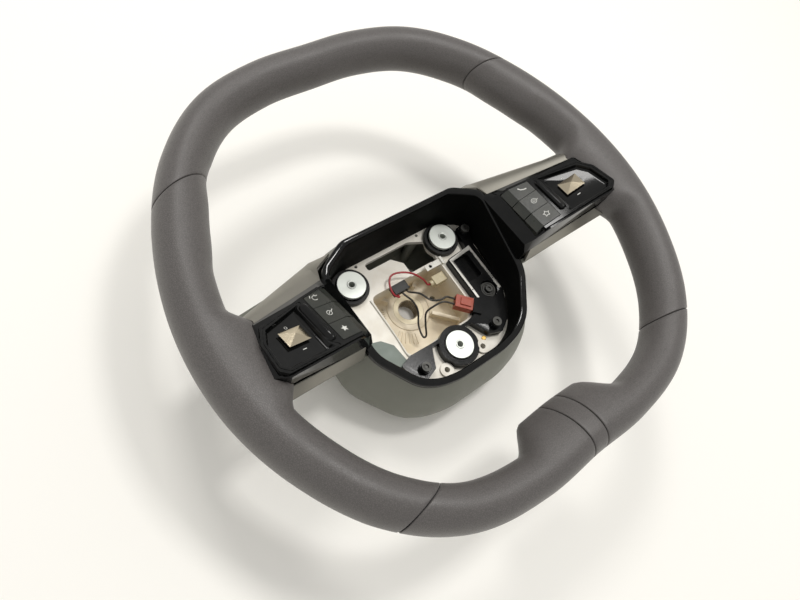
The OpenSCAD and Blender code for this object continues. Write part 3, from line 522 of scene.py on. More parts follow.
finish = {
    "leather": hide_finish(),
    "foam": moulding_finish("rim foam", srgb(38, 37, 37), 0.7, 0.85, 500.0, 0.0001, 0.0, 0.0),
    "cover": moulding_finish("grained cover", srgb(110, 111, 101), 0.42, 0.55, 1300.0, 0.00004, 0.04, 0.15),
    "gloss": lacquer_finish(),
    "satin": metal_finish("satin paint", srgb(140, 137, 128), 0.34, 0.46, 0.6, 0.00001, 3000.0, 0.1, 0.03),
    "toggle": metal_finish("champagne metal", srgb(184, 173, 151), 0.13, 0.2, 1.0, 0.00001, 2600.0, 0.3, 0.02),
    "key": moulding_finish("switch key", srgb(48, 50, 46), 0.26, 0.36, 1900.0, 0.00002, 0.05, 0.35, 0.35),
    # The casting's tan below 40 mm is painted shade in its well.
    "casting": casting_finish("bright casting", srgb(232, 228, 218), srgb(224, 211, 185), 0.040, 0.024),
    "wall": moulding_finish("dull inner wall", srgb(9, 10, 9), 0.6, 0.75, 1500.0, 0.00002, 0.02, 0.05, 0.06),
    "plate": metal_finish("grey plate", srgb(110, 120, 112), 0.4, 0.55, 0.2, 0.00002, 1600.0, 0.3, 0.08),
    "core": metal_finish("rim core tube", srgb(160, 160, 158), 0.35, 0.5, 1.0, 0.00003),
    # The bush's tan below 13.8 mm is painted shade in its bore.
    "bush": casting_finish("steel bush with painted bore shade", srgb(212, 202, 176), srgb(140, 122, 90), 0.0138, 0.0128, 0.6),
    "zinc": metal_finish("zinc plate", srgb(222, 226, 219), 0.34, 0.5, 0.6, 0.00003, 1500.0, 0.4, 0.08),
    "strip": metal_finish("bright strip", srgb(205, 203, 196), 0.2, 0.34, 1.0, 0.00002, 1600.0),
    "wire": metal_finish("spring wire", srgb(120, 120, 118), 0.3, 0.4, 1.0),
    "screw": metal_finish("dull screw", srgb(70, 70, 68), 0.35, 0.5, 0.9, 0.00002, 1600.0),
    "brass": metal_finish("brass rivet", srgb(200, 165, 96), 0.25, 0.4, 1.0, 0.00002, 1500.0),
    "seat": moulding_finish("black seat ring", srgb(9, 9, 9), 0.3, 0.45, 1500.0, 0.00004, 0.02, 0.3, 0.25),
    "frame": moulding_finish("black frame", srgb(9, 10, 11), 0.14, 0.22, 1500.0, 0.000008, 0.01, 0.3, 0.22),
    "board": moulding_finish("circuit board", srgb(26, 62, 38), 0.4, 0.5, 2000.0, 0.00002, 0.1, 0.1),
    "gimbal": moulding_finish("gimbal ring", srgb(36, 36, 37), 0.4, 0.5),
    "red_plastic": moulding_finish("red plug", srgb(164, 70, 48), 0.25, 0.4, 1500.0, 0.00003, 0.15, 0.4),
    "clear_plastic": moulding_finish("milky plug", srgb(196, 184, 150), 0.2, 0.35, 1500.0, 0.00003, 0.2, 0.3),
    "black_plastic": moulding_finish("black plug", srgb(16, 20, 18), 0.25, 0.4, 1500.0, 0.00003, 0.05, 0.4, 0.4),
    "red_wire": sleeve_finish("red sleeve", srgb(168, 40, 52)),
    "black_wire": sleeve_finish("black sleeve", srgb(26, 25, 24)),
    "print": moulding_finish("pale printing", srgb(214, 214, 208), 0.45, 0.55, 2500.0, 0.00001, 0.0, 0.0),
}


# Rim
def skin_rings(start, end):
    """Sections of one leather piece; its cut edges roll down into the seam."""
    count = max(4, round((end - start) / RIM_STEP))
    angles = [start + (end - start) * i / count for i in range(count + 1)]
    per_mm = 1 / MEAN_REACH * RADIAN
    edge = [(SKIN_ROLL * (1 - sin(t)) * per_mm, SKIN_ROLL * (1 - cos(t)))
            for t in (1.45, 1.1, 0.75, 0.4, 0.12)]
    first = [(start + turn, inset) for turn, inset in edge]
    last = [(end - turn, inset) for turn, inset in reversed(edge)]
    plain = [(a, 0.0) for a in angles if start + SKIN_ROLL * per_mm < a < end - SKIN_ROLL * per_mm]
    inner = [(a, SKIN_T) for a, _ in reversed(first[-1:] + plain + last[:1])]
    inner = [(end, SKIN_T)] + inner + [(start, SKIN_T)]
    return [rim_ring(a, inset) for a, inset in first + plain + last + inner]


# A wing of the bezel: sections across the spoke, from the hub out
WING = [
    (74, [(-22.8, 87.5), (-18.5, 94.5), (29, 89.5), (34.5, 88.2)], (14, 0.5)),
    (79, [(-22.9, 89), (-20.4, 100.7), (27.8, 93.1), (33.5, 90.1)], (0.6, 1)),
    (89, [(-23.2, 92.1), (-21.6, 113), (25.5, 100.2), (31.4, 93.9)], (0.6, 1)),
    (144, [(-24.8, 110.6), (-24.6, 132.4), (17, 121.2), (18, 120)], (0.6, 1)),
    (152, [(-22, 113), (-19, 127.5), (12, 121), (14, 118)], (0.6, 1)),
]
# How far each section but the first moves out for the hollow under the wing
WING_ROOM = [1.5, 0, 0, -COVER_WALL]


def wing_ring(section, grow, shift=0.0, deeper=0.0):
    x, p, d = section
    x += shift
    return [(x, p[0][0] - grow, p[0][1] - d[0] - deeper - grow), (x, p[0][0] - grow, p[0][1]),
            (x, p[1][0] - grow, p[1][1] + grow), (x, p[2][0] + grow, p[2][1] + grow),
            (x, p[3][0] + grow, p[3][1]), (x, p[3][0] + grow, p[3][1] - d[1] - deeper - grow)]


def between(rings, parts):
    """More rings, evenly between each pair."""
    out = []
    for a, b in zip(rings, rings[1:]):
        a, b = np.array(a), np.array(b)
        out += [a + (b - a) * i / parts for i in range(parts)]
    return out + [rings[-1]]


def flowing(points, parts):
    """A smooth line through a few points."""
    out = []
    last = len(points) - 1
    points = [np.array(p, float) for p in points]
    for i in range(last):
        near = [points[min(max(k, 0), last)] for k in (i - 1, i, i + 1, i + 2)]
        out += [blend4(*near, j / parts) for j in range(parts)]
    return out + [points[-1]]


def wing_block(grow):
    rings = [wing_ring(s, grow, grow if i == 4 else 0) for i, s in enumerate(WING)]
    return loft("wing", between(rings, 6))


def rim_block(grow):
    """The rim's outline as a cutter for what meets the leather at a spoke."""
    return loft("rim block", [rim_ring(a, -grow) for a in np.arange(60.0, 130.0, 1.6)])


per_gap = SEAM_GAP / 2 / MEAN_REACH * RADIAN
band_a = 180 - degrees(asin(BAND_W / 2 / REACH[-1]))


def make_rim():
    """Six leather pieces over the foam, with tucked seams between them."""
    def skin(name, start, end, *cutters):
        mesh = loft(name, skin_rings(start, end), closed=True)
        if cutters:
            mesh = cut(mesh, *cutters)
        mesh = eased(mesh, 0, 50.0, flat=0.01)
        piece(name + "_hide", mesh, "leather", nodes=(name,))

    wing = wing_block(0.3)
    foam = loft("foam", [rim_ring(a, SKIN_T + 0.05) for a in np.arange(-180, 180, RIM_STEP)], closed=True)
    foam = cut(foam, wing, other_side(wing))
    piece("foam_ring", eased(foam, 0, 50.0, flat=0.01), "foam", nodes=("rim_foam",))
    skin("skin_top", -SEAM_HIGH + per_gap, SEAM_HIGH - per_gap)
    skin("skin_right", SEAM_HIGH + per_gap, SEAM_LOW - per_gap, wing)
    skin("skin_left", -SEAM_LOW + per_gap, -SEAM_HIGH - per_gap, other_side(wing))
    skin("skin_lower_right", SEAM_LOW + per_gap, band_a - per_gap)
    skin("skin_lower_left", -band_a + per_gap, -SEAM_LOW - per_gap)
    skin("skin_band", band_a + per_gap, 360 - band_a - per_gap)


# Hub
hub_half = [(52, 50.5), (64, 44.5), (HUB_HALF_W, HUB_HIGH), (HUB_HALF_W - 2.5, -31), (54, -62), (40, -70), (22, -73.5)]
hub_outline = hub_half + [(-x, y) for x, y in reversed(hub_half)]
hub_radius = [18, 18, 16, 30, 60, 60, 60]
hub_loop = [np.array(p) for p in rounded(hub_outline, hub_radius + hub_radius[::-1], 10)]


def grown(amount):
    return [p + amount * unit(p - HUB_MIDDLE) for p in hub_loop]


def lip_z(y):
    return LIP_HIGH - (HUB_HIGH - y) * tan(radians(LIP_TILT))


def on_panel(p):
    """From a switch panel's own frame (out, up, towards the driver) to the wheel's, on the right."""
    lean, slope = radians(-PANEL_LEAN), radians(-PANEL_SLOPE)
    u, v, w = p
    v, w = v * cos(lean) - w * sin(lean), v * sin(lean) + w * cos(lean)
    u, w = u * cos(slope) + w * sin(slope), -u * sin(slope) + w * cos(slope)
    return (PANEL_X + u, v, RIM_LIFT + PANEL_RISE + w)


def inset_loop(points, amount):
    """A convex outline moved outward by amount, or inward where it is negative."""
    points = [np.array(p, float) for p in points]
    turn = sum(a[0] * b[1] - a[1] * b[0] for a, b in zip(points, points[1:] + points[:1]))
    sign = 1 if turn > 0 else -1
    out = []
    for i, p in enumerate(points):
        before, after = unit(p - points[i - 1]), unit(points[(i + 1) % len(points)] - p)
        n1, n2 = sign * np.array([before[1], -before[0]]), sign * np.array([after[1], -after[0]])
        middle = unit(n1 + n2)
        out.append(p + middle * amount / max(0.4, float(middle @ n1)))
    return out


PANEL_LOOP = rounded([(-33, -19.6), (38.5, -23.2), (43, -19), (40.5, 2), (33, 14), (-5.4, 24), (-33, 29.5)], 2.5)
DISH_EDGE = [(1.5, -16), (-2, -19), (36, -20.3), (39.5, -16.5), (37, 1.5), (31, 10.8), (-2.5, 20.2), (1.5, 17)]


def make_bezel():
    """Gloss frame round the airbag opening, with a wing over each spoke."""
    # How far out from the hub's outline, whether measured from the lip, and how far below it
    profile = [(-LIP_W, False, 0.0), (-LIP_W, True, 2.2), (-LIP_W + 0.25, True, 1.0), (-LIP_W + 0.9, True, 0.3),
               (-LIP_W + 2.0, True, 0.0), (-0.2, True, 0.0), (0.9, True, 0.3), (1.4, True, 1.0), (1.5, True, 1.9),
               (1.5, True, 4.6), (-1.0, True, 4.7), (-1.0, False, 0.0)]
    rings = []
    for grow, top, drop in profile:
        rings.append([(p[0], p[1], lip_z(p[1]) - drop if top else PLATE_Z) for p in grown(grow)])
    wall = loft("hub_wall", rings, closed=True)
    opening = prism("opening", grown(-LIP_W), PLATE_Z - 2, 140)
    wing = cut(wing_block(0.0), opening)
    inside = [wing_ring(s, -COVER_WALL, room, 5) for s, room in zip(WING[1:], WING_ROOM)]
    hollow = loft("hollow", between(inside, 6))
    seat = prism("panel seat", inset_loop(PANEL_LOOP, PANEL_ROOM), -2.3, 40, on_panel)
    below = prism("panel well", inset_loop(PANEL_LOOP, PANEL_ROOM - BODY_INSET), -20, 0, on_panel)
    bezel = joined(wall, wing, other_side(wing))
    tools = [hollow, seat, below]
    bezel = cut(bezel, *tools, *[other_side(t) for t in tools])
    frame_ring = piece("bezel", eased(bezel, 0.35, 28.0, 3), "gloss", nodes=("hub_bezel",))
    frame_ring.data.materials.append(finish["wall"])
    for face in frame_ring.data.polygons:
        middle, facing = np.array(face.center) / MM, np.array(face.normal)
        towards = HUB_MIDDLE - middle[:2]
        if abs(middle[0]) < HUB_HALF_W - 2 and abs(facing[2]) < 0.35 and float(facing[:2] @ unit(towards)) > 0.5:
            face.material_index = 1


CUP_LEVELS = [(0, -10), (0.05, 0), (0.2, 10), (0.45, 13), (0.75, 9), (1, 1.5)]
ARM_HUB = [(-25.1, 67.2), (-24.5, 55), (-17, 47), (34, 47), (46, 55), (52, 66)]
ARM_RIM = [(-32, 110.5), (-29, 100), (-22, 92.5), (18, 92.5), (26, 97), (30, 108)]
ARM_HUB_X, ARM_RIM_X, COLUMN_HOLE = 66.0, 156.0, 92.0
POSTS, POST_HALF, SCREW_HOLE = [(-52, -30), (52, -30), (-31, 45), (31, 45)], 4, ((1.5, PLATE_Z), (3.5, 4))


def cup_rings(thick):
    """Sections of the cover's cup, from its back up to the lip, on one smooth curve."""
    levels = between(CUP_LEVELS[:2], 2)[:2] + flowing(CUP_LEVELS, 6)[6:]
    return [[(p[0], p[1], share * (lip_z(q[1]) - COVER_TOP)) for p, q in zip(grown(grow - thick), hub_loop)]
            for share, grow in levels]


def arm_inside(points):
    """A trough's outline sunk by its wall, and open above."""
    t = COVER_WALL
    moves = [(t, 30), (t, t / 2), (t / 2, t), (-t / 2, t), (-t, t / 2), (-t, 30)]
    return [(y + dy, z + dz) for (y, z), (dy, dz) in zip(points, moves)]


def arm_block(name, hub, rim, longer=0):
    """Half-round trough under a spoke, with its lower corners rounded."""
    def ring(x, points):
        return [(x, y, z) for y, z in rounded(points, 9, 6, corners=(1, 2, 3, 4))]
    return loft(name, between([ring(ARM_HUB_X - longer, hub), ring(ARM_RIM_X + longer, rim)], 12))


def make_cover():
    """Matt cup behind the hub with a trough under each spoke."""
    cup = loft("cup", cup_rings(0))
    room = loft("cup room", cup_rings(COVER_WALL))
    room.transform(Matrix.Translation((0, 0, COVER_WALL * MM)))
    inner_hub, inner_rim = arm_inside(ARM_HUB), arm_inside(ARM_RIM)
    mouth = arm_block("mouth", inner_hub, inner_rim)
    cup = cut(cup, room, mouth, other_side(mouth))
    arm = arm_block("arm", ARM_HUB, ARM_RIM)
    trough = arm_block("trough", inner_hub, inner_rim, 1)
    hub = prism("hub", grown(1.8), -1, RIM_LIFT)
    arm = cut(arm, trough, loft("cup inside", cup_rings(COVER_WALL)), hub, rim_block(0.5))
    cover = joined(cup, arm, other_side(arm))
    for x, y in POSTS:
        ring = [(x + i * POST_HALF, y + j * POST_HALF) for i, j in ((-1, -1), (1, -1), (1, 1), (-1, 1))]
        cover = joined(cover, prism("post", rounded(ring, POST_HALF, 8), COVER_WALL - 1, PLATE_Z - 4))
    tools = [prism("column hole", round_outline(0, 0, COLUMN_HOLE / 2, 96), -1, COVER_WALL + 2)]
    for x, y in POSTS:
        tools += [prism("screw hole", round_outline(x, y, r, 32), -1, top) for r, top in SCREW_HOLE]
    cover = cut(cover, *tools)
    piece("cover", eased(cover, 0.4, 32.0, 2, 0.3), "cover", nodes=("rear_cover",))


# Spoke trims
LOW_HUB, LOW_RIM = [(-23.2, 88.4), (-26.2, 74.4)], [(-25, 111.9), (-31.5, 109)]
HIGH_HUB = [(50.6, 76), (51, 80), (43.2, 85.6), (33.9, 88.9)]
HIGH_RIM = [(26.7, 110.1), (27.1, 113), (23.4, 117.5), (18.1, 119.6)]
CORNER = [(HUB_HALF_W - 14, [(51.6, 79), (51.4, 80.6), (50, 85), (48.8, 88)]),
          (HUB_HALF_W - 0.5, [(52, 77), (52, 80), (47.4, 84.8), (43.4, 87.8)])]
TRIM_T, TRIM_HUB_X = 1.8, 80.0


def make_trims():
    """Satin strips along both edges of each spoke, cut to the leather."""
    rim = rim_block(0.5)
    for kind, hub, rim_end, end, step in (("lower", LOW_HUB, LOW_RIM, 152.0, (TRIM_T, 0.0)),
                                          ("upper", HIGH_HUB, HIGH_RIM, 146.0, (-0.7 * TRIM_T, -0.7 * TRIM_T))):
        def ring(x, points):
            line = flowing(points, 8)
            back = [p + np.array(step) for p in reversed(line)]
            return [(x, p[0], p[1]) for p in line + back]
        corner = [ring(x, points) for x, points in CORNER] if kind == "upper" else []
        strip = cut(loft("strip", corner + between([ring(TRIM_HUB_X, hub), ring(end, rim_end)], 16)), rim)
        for side, mesh in (("right", strip), ("left", other_side(strip))):
            piece(f"{kind}_strip_{side}", eased(mesh, 0.25, 35.0, 2, 0.2), "satin", nodes=(f"{kind}_trim_{side}",))


# Switch panels
RIDGE = [(-1.5, -2), (-1.5, 0.6), (-0.8, 2.2), (1, 3.1), (3, 2.5), (4.6, 0.6), (5.4, -2)]
RIDGE_U, FACET_U, HOUSING_T, FLANGE_W, BODY_INSET = -4.2, -24.5, 9.0, 2.0, 1.6
KEY_FIELD = [(-31.8, -18), (-8, -18), (-8, 22.8), (-31.8, 27.4)]


def dish_rings(radius, levels):
    """The dish's edge grown and set at a height, once for each level."""
    return [[on_panel((p[0], p[1], w)) for p in rounded(inset_loop(DISH_EDGE, grow), radius)] for grow, w in levels]


def make_panels():
    """Gloss switch housings: a dish round the toggle, a ridge, and the field for the keys."""
    flange = prism("flange", PANEL_LOOP, -FLANGE_W, 0, on_panel)
    block = prism("block", inset_loop(PANEL_LOOP, -BODY_INSET), -HOUSING_T, -0.5, on_panel)
    line = flowing(RIDGE, 5)
    def across(v, scale):
        return [on_panel((RIDGE_U + 1.9 + (p[0] - 1.9) * scale, v, -2 + (p[1] + 2) * scale)) for p in line]
    levels = [(-15, 0.35), (-14.6, 0.7), (-13.8, 0.9), (-12.4, 1.0)] + [(v, 1.0) for v in np.linspace(-9, 14, 10)]
    levels += [(15.6, 1.0), (16.9, 0.9), (17.6, 0.7), (18, 0.35)]
    ridge = loft("ridge", [across(v, scale) for v, scale in levels])
    facet = loft("facet", [[on_panel((FACET_U + u, v, w)) for u, w in ((0, 0), (0, 20), (-40, 20), (-40, -40))]
                           for v in (-60, 60)])
    keys = prism("key field", KEY_FIELD, -5, 15, on_panel)
    dish = loft("dish", dish_rings(2.0, ((-2.6, -DISH_DEPTH), (-1.9, -DISH_DEPTH + 0.15), (-1.3, -DISH_DEPTH + 0.6),
                                         (-0.9, -DISH_DEPTH + 1.4), (0.0, 0.0), (0.7, 1.0))))
    stem = prism("stem hole", round_outline(TOGGLE_U, TOGGLE_V, 4.5), -HOUSING_T - 1, 0, on_panel)
    room = prism("gimbal room", round_outline(TOGGLE_U, TOGGLE_V, 8.5), -HOUSING_T - 1, -DISH_DEPTH - 0.2, on_panel)
    pins = [prism("key pin", round_outline(-14, KEY_LOW + (k + 0.5) * KEY_PITCH, 2, 24), -HOUSING_T - 1, 1, on_panel)
            for k in range(3)]
    under_facets = [(-31.8, -18), (FACET_U + 3, -18), (FACET_U + 3, 25.4), (-31.8, 27.0)]
    low_field = prism("low field", under_facets, -13.5, -3.5, on_panel)
    groove = loft("groove", dish_rings(2.5, ((1.5, -0.4), (1.5, 1), (2.0, 1), (2.0, -0.4))), closed=True)
    housing = cut(joined(block, flange), keys, low_field, groove, dish, stem, room, *pins)
    housing = cut(joined(housing, ridge), facet, rim_block(2.0))
    for side, mesh in (("right", housing), ("left", other_side(housing))):
        piece(f"housing_{side}", eased(mesh, 0.3, 28.0, 3, 0), "gloss", nodes=(f"switch_housing_{side}",))


def ribbon(points, width, closed=False):
    """Flat strokes of one width along a line, as small outlines."""
    pairs = list(zip(points, points[1:])) + ([(points[-1], points[0])] if closed else [])
    strokes = []
    for a, b in pairs:
        a, b = np.array(a, float), np.array(b, float)
        t = unit(b - a)
        n, more = np.array([-t[1], t[0]]) * width / 2, t * width / 3
        strokes.append([a - more - n, b + more - n, b + more + n, a - more + n])
    return strokes


def arc(r, start, end):
    return [(r * cos(radians(t)), r * sin(radians(t))) for t in np.linspace(start, end, 16)]


def star(outer, inner):
    reaches = [outer, inner] * 5
    return [(r * sin(pi * k / 5), r * cos(pi * k / 5)) for k, r in enumerate(reaches)]


# Plain signs on the keys, drawn as the driver sees them
SIGNS = {
    "key_top_left": ribbon(arc(1.9, 40, 300), 0.5) + ribbon([(1.0, 2.6), (1.5, 1.2), (2.9, 1.6)], 0.5)
    + ribbon([(-3.4, 1.0), (-2.4, 2.6)], 0.5),
    "key_mid_left": ribbon(arc(1.9, 0, 340), 0.45, True) + ribbon([(-0.7, -0.7), (0.8, 0.8)], 0.45)
    + ribbon([(2.0, 0.6), (3.8, 2.0)], 0.5),
    "key_low_left": [star(2.7, 1.25)],
    "key_top_right": ribbon([(-2.6, 1.6), (-1.4, -0.4), (0.6, -1.6), (2.6, -2.0)], 0.9),
    "key_mid_right": ribbon(arc(2.1, 0, 340), 0.45, True) + ribbon(arc(0.9, 0, 320), 0.4, True)
    + ribbon([(2.2, 0), (3.4, 0)], 0.5),
    "key_low_right": ribbon(star(2.7, 1.4), 0.45, True),
}
KEY_SIGN_U, KEY_GAP = -15.8, 0.4
MARK_LOW, MARK_HIGH = -0.1, 0.04
WEDGE = [(0, 0), (-6.6, -3.2), (-6.6, -6.9), (0.5, -2)]


def printed(name, outlines, u, v, side, face, body):
    """Thin printed marks on a face of a switch panel."""
    sheet = bmesh.new()
    for outline in outlines:
        flat = [(u + p[0] * side, v + p[1]) for p in outline]
        if sum(a[0] * b[1] - a[1] * b[0] for a, b in zip(flat, flat[1:] + flat[:1])) < 0:
            flat.reverse()
        bed = prism("mark", flat, face + MARK_LOW, face + MARK_HIGH, on_panel)
        sheet.from_mesh(bed)
        bpy.data.meshes.remove(bed)
    mesh = bpy.data.meshes.new(name)
    sheet.to_mesh(mesh)
    sheet.free()
    if side < 0:
        mesh = other_side(mesh)
    piece(name, mesh, "print", body)


def make_switches():
    """Keys with their signs, and the pyramid toggles."""
    for side_name, side in (("left", -1), ("right", 1)):
        dressed(f"toggle_{side_name}", 0.18, 10.0, 3)
        for k, level in enumerate(("low", "mid", "top")):
            key = f"key_{level}_{side_name}"
            low, high = KEY_LOW + k * KEY_PITCH + KEY_GAP, KEY_LOW + (k + 1) * KEY_PITCH - KEY_GAP
            wedge = loft("wedge", [[on_panel((FACET_U + u, v, KEY_TOP_W + w)) for u, w in WEDGE] for v in (low, high)])
            field = prism("field", inset_loop(KEY_FIELD, -KEY_GAP), -12, 6, on_panel)
            wedge = combined("INTERSECT", wedge, [field])
            mesh = joined(eased(frame["nodes"][key].data, 0), wedge if side > 0 else other_side(wedge))
            piece(key + "_cap", eased(mesh, 0.3, 20.0, 3, 0.3), "key", key, (key,))
            printed(f"sign_{level}_{side_name}", SIGNS[key], KEY_SIGN_U, KEY_LOW + (k + 0.5) * KEY_PITCH + 0.2,
                    side, KEY_TOP_W, key)
        ring, dash = ribbon(arc(0.9, 0, 330), 0.35, True), ribbon([(-1.2, 0), (1.2, 0)], 0.6)
        printed(f"dish_mark_high_{side_name}", ring, TOGGLE_U - 0.5, TOGGLE_V + 9.0, side, -DISH_DEPTH, WHEEL)
        printed(f"dish_mark_low_{side_name}", dash, TOGGLE_U - 0.5, TOGGLE_V - 10.0, side, -DISH_DEPTH, WHEEL)


# Hub fittings
def make_fittings():
    """Casting, mounts, horn frame, plugs and small metal, each on its own solid."""
    room = rounded([(-36, -8), (-37, -34.5), (-33.5, -40.5), (-8, -37.2), (-8, -8)], 3, 6, corners=(1, 2))
    wall = rounded([(-38.5, -12), (-39.5, -35.5), (-35, -43), (-12, -39.7), (-12, -12)], 4)
    casting = joined(eased(frame["nodes"]["armature"].data, 0), prism("corner wall", wall, BOSS_H - 2.5, PLATE_Z - 1),
                     solver="EXACT")
    casting = cut(casting, prism("corner room", room, BOSS_H, PLATE_Z + 3), solver="EXACT")
    piece("armature_dressed", eased(casting, 0.4, 35.0), "casting", nodes=("armature",))
    for node, width, sharp in (("column_bush", 0.4, 35.0), ("mount_seats", 0.35, 35.0),
                               ("horn_frame", 0.35, 30.0), ("contact_strip", 0.12, 30.0), ("horn_contact", 0.2, 35.0),
                               ("frame_screws", 0.25, 35.0), ("ground_rivet", 0.35, 35.0),
                               ("ground_terminal", 0.12, 30.0), ("red_plug", 0.35, 30.0),
                               ("clear_plug", 0.35, 35.0), ("lead_plug", 0.35, 30.0),
                               ("mount_disc_left", 0.35, 35.0), ("mount_disc_right", 0.35, 35.0),
                               ("mount_disc_low", 0.35, 35.0)):
        dressed(node, width, sharp)


def round_spread(name, mark, slot, count, radius, start, step):
    """Copies of one small mark, set round the column's axis by a node tree."""
    tree = bpy.data.node_groups.new(name, "GeometryNodeTree")
    face = {}
    for label, kind in (("Geometry", "Geometry"), ("Mark", "Object"), ("Count", "Int"), ("Radius", "Float"),
                        ("Start", "Float"), ("Step", "Float"), ("Finish", "Material")):
        face[label] = tree.interface.new_socket(name=label, in_out="INPUT", socket_type="NodeSocket" + kind)
    tree.interface.new_socket(name="Geometry", in_out="OUTPUT", socket_type="NodeSocketGeometry")
    given, out = tree.nodes.new("NodeGroupInput").outputs, tree.nodes.new("NodeGroupOutput")
    line = add(tree, "GeometryNodeMeshLine", Count=given["Count"])
    index = add(tree, "GeometryNodeInputIndex")
    angle = maths(tree, "MULTIPLY_ADD", index.outputs[0], given["Step"], given["Start"])
    spin = add(tree, "ShaderNodeCombineXYZ", Z=angle)
    out_along = add(tree, "ShaderNodeCombineXYZ", X=given["Radius"])
    spot = add(tree, "ShaderNodeVectorRotate", {"rotation_type": "Z_AXIS"}, Vector=out_along.outputs[0],
               Angle=angle)
    points = add(tree, "GeometryNodeSetPosition", Geometry=line.outputs[0], Position=spot.outputs[0])
    shape = add(tree, "GeometryNodeObjectInfo", Object=given["Mark"])
    copies = add(tree, "GeometryNodeInstanceOnPoints", Points=points.outputs[0], Instance=shape.outputs["Geometry"],
                 Rotation=spin.outputs[0])
    real = add(tree, "GeometryNodeRealizeInstances", Geometry=copies.outputs[0])
    coated = add(tree, "GeometryNodeSetMaterial", Geometry=real.outputs[0], Material=given["Finish"])
    tree.links.new(coated.outputs[0], out.inputs[0])
    helper, bench = placed("mark", mark), placed("bench", bpy.data.meshes.new("bench"))
    worker = bench.modifiers.new("spread", "NODES")
    worker.node_group = tree
    for label, value in (("Mark", helper), ("Count", count), ("Radius", radius * MM), ("Start", radians(start)),
                         ("Step", radians(step)), ("Finish", finish[slot])):
        worker[face[label].identifier] = value
    mesh = shown_mesh(bench)
    for thing in (helper, bench):
        bpy.data.objects.remove(thing)
    piece(name, mesh, slot)


def turned(name, profile, middle, n, start=0.0, end=360.0):
    """A small profile of radius and height, turned about an upright axis."""
    whole = end - start >= 360
    angles = np.radians(np.linspace(start, end, n, endpoint=not whole))
    rings = [[(middle[0] + r * cos(a), middle[1] + r * sin(a), z) for r, z in profile] for a in angles]
    return loft(name, rings, closed=whole)


def cord(name, line, width):
    """A round cord of one width along a line of close points."""
    rings, side = [], np.array([1.0, 0.0, 0.0])
    for i, p in enumerate(line):
        t = unit(line[min(i + 1, len(line) - 1)] - line[max(i - 1, 0)])
        side = unit(side - t * float(side @ t))
        up = np.cross(side, t)
        rings.append([tuple(p + width / 2 * (cos(a) * side + sin(a) * up))
                      for a in np.linspace(0, 2 * pi, CORD_SIDES, False)])
    return eased(loft(name, rings), 0, 50.0, flat=0.01)


WELL_EDGE = [(-37.6, 15), (-37.4, 6), (-37.4, -20), (-38.2, -33.5), (-36.8, -39.4), (-32.5, -42), (-24, -40),
             (-10, -38.8), (12, -38.4), (24.5, -38), (30, -34.5), (35, -29)]


def make_small_marks():
    """Splines in the bore, ribs and a bead in the well, its edge, rings on the discs, a corner plate."""
    tooth = prism("tooth", [(0.05, -0.45), (0.05, 0.45), (-0.5, 0.22), (-0.5, -0.22)], 0.6, BOSS_H - 0.9)
    round_spread("bore_splines", tooth, "bush", count=36, radius=BORE_D / 2, start=0.0, step=10.0)
    rib = eased(prism("rib", [(0, -0.8), (9, -0.35), (9, 0.35), (0, 0.8)], BOSS_H - 0.3, BOSS_H + 0.9), 0.3, 30.0)
    round_spread("floor_ribs_high", rib, "casting", count=5, radius=21.5, start=150.0, step=5.0)
    round_spread("floor_ribs_low", rib, "casting", count=6, radius=21.5, start=215.0, step=7.0)
    bead = [(18.0, BOSS_H - 0.3), (18.1, BOSS_H + 0.4), (18.5, BOSS_H + 0.7), (18.9, BOSS_H + 0.4),
            (19.0, BOSS_H - 0.3)]
    piece("floor_bead", eased(turned("bead", bead, (0, 0), 72, -240.0, 60.0), 0, 40.0), "casting")
    for side in ("left", "right", "low"):
        disc = "mount_disc_" + side
        spots = np.array([v.co for v in frame["nodes"][disc].data.vertices]) / MM
        top, (x, y) = spots[:, 2].max(), (spots[:, :2].max(axis=0) + spots[:, :2].min(axis=0)) / 2
        profile = [(2.3, -0.3), (2.3, 0.35), (2.6, 0.55), (3.4, 0.55), (3.8, 0.2), (3.8, -0.3)]
        lip = [(r, top + z) for r, z in profile]
        piece("disc_lip_" + side, eased(turned("lip", lip, (x, y), 40), 0, 40.0), "zinc", body_of[disc])
    edge = [(x, y, PLATE_Z + 0.45) for x, y in WELL_EDGE]
    piece("well_edge", cord("well edge", flowing(edge, 6), 1.7), "casting")
    corner = [(-63, -12.5), (-50, -16.5), (-43, -24.5), (-40.8, -42), (-47, -45), (-57, -38), (-63, -30)]
    piece("corner_plate", eased(prism("corner", rounded(corner, 1.5), PLATE_Z - 0.2, PLATE_Z + 0.9), 0.2), "plate")


RED_ROUTE = [(-14.1, 10.8, 41.5), (-14.6, 6.6, 42.8), (-19.5, 9.5, 47.5), (-19, 17, 50), (-14.5, 22.5, 51.5),
             (-7, 21.5, 52.5), (3, 16.5, 50.5), (12, 9.5, 43.5), (16.4, 5.4, 36.8), (20.6, 5, 36)]
BLACK_ROUTE = [(-9.5, 10.8, 41.5), (-9, 6, 42), (-5.5, -1, 40), (-4.8, -9.4, 36), (-8.7, -18.5, 30),
               (-10.2, -27.5, 27.5), (-7.6, -28.5, 28.5), (-5.2, -21, 35), (-2.4, -15, 41.5), (4, -14.6, 46.4),
               (11.5, -15.6, 48.4), (16.8, -19.2, 48), (20.7, -23.6, 48)]
HORN_ROUTE = [(-4.9, 10.8, 41.5), (-4.4, 6.5, 42.2), (1, 0, 45.5), (5, -9, 46.5), (11, -13, 48), (17, -13.6, 48.4),
              (20.2, -16.3, 48.2), (24.1, -20.2, 48)]


def make_leads():
    """Three thin leads, held in their plugs at both ends."""
    for name, route, slot in (("red_lead", RED_ROUTE, "red_wire"), ("black_lead", BLACK_ROUTE, "black_wire"),
                              ("horn_lead", HORN_ROUTE, "black_wire")):
        piece(name + "_sleeve", cord(name, flowing(route, 10), LEAD_D), slot, nodes=(name,))


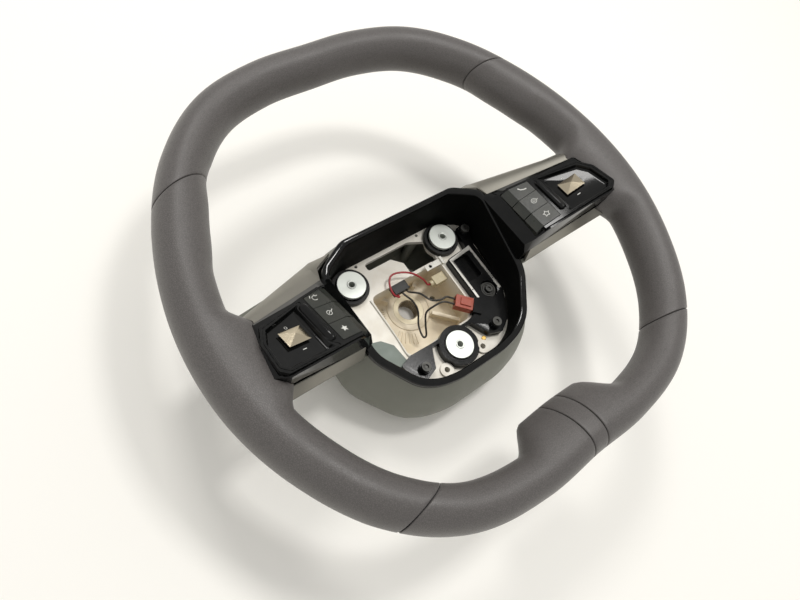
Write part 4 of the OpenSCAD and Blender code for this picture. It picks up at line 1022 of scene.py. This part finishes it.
# Table, light and camera
def make_table():
    """Pale table that the hub's back stands on, run far past the view."""
    mesh = mesh_of("table", [(-4000, -4000, 0), (4000, -4000, 0), (4000, 4000, 0), (-4000, 4000, 0)], [(0, 1, 2, 3)])
    colour = srgb(252, 250, 244)
    made, tree, shader = surface("pale table", colour, 0.6)
    tinted(tree, shader, colour, 3.0, 0.02)
    mesh.materials.append(made)
    table = placed("table", mesh)


def softbox(name, direction, distance, size, power, colour):
    """A square soft light that faces the hub from a direction."""
    light = bpy.data.lights.new(name, "AREA")
    light.shape, light.size, light.energy, light.color = "SQUARE", size, power, colour
    lamp = placed(name, light)
    aim = Vector(direction).normalized()
    lamp.location = aim * distance + Vector((0, 0.01, 0.06))
    lamp.rotation_euler = aim.to_track_quat("Z", "Y").to_euler()


def make_light():
    softbox("right softbox", (0.3, 0.03, 0.954), distance=1.7, size=0.26, power=8.2, colour=(1.0, 0.985, 0.965))
    softbox("far softbox", (0.1, 0.52, 0.848), distance=1.6, size=0.3, power=5.5, colour=(1.0, 0.985, 0.96))
    world = bpy.data.worlds.new("room")
    world.use_nodes = True
    sky = world.node_tree.nodes["Background"].inputs
    sky["Color"].default_value, sky["Strength"].default_value = (1.0, 0.99, 0.97, 1.0), 0.7
    bpy.context.scene.world = world


def make_camera():
    """The photograph's view: solved from the rim's outline and the pairs in the hub."""
    azimuth, height, roll = (radians(a) for a in (-65.278, 61.027, -32.543))
    back = Vector((sin(azimuth) * cos(height), -cos(azimuth) * cos(height), sin(height)))
    right = (-back).cross(Vector((0, 0, 1))).normalized()
    down = (-back).cross(right)
    across = cos(roll) * right + sin(roll) * down
    below = -sin(roll) * right + cos(roll) * down
    data = bpy.data.cameras.new("camera")
    data.lens, data.sensor_width = 28.142, 36.0
    camera = placed("camera", data)
    stand, turn = Vector((-232.7, -95.7, 474.5)) * MM, Matrix((across, -below, back)).transposed().to_4x4()
    camera.matrix_world = Matrix.Translation(stand) @ turn
    bpy.context.scene.camera = camera
    bpy.context.scene.view_settings.view_transform = "Standard"


for node, thing in frame["nodes"].items():
    thing.data.materials.clear()
    thing.data.materials.append(finish[slot_of[node]])
make_rim()
make_bezel()
make_cover()
make_trims()
make_panels()
make_switches()
make_fittings()
make_small_marks()
make_leads()
make_table()
make_light()
make_camera()
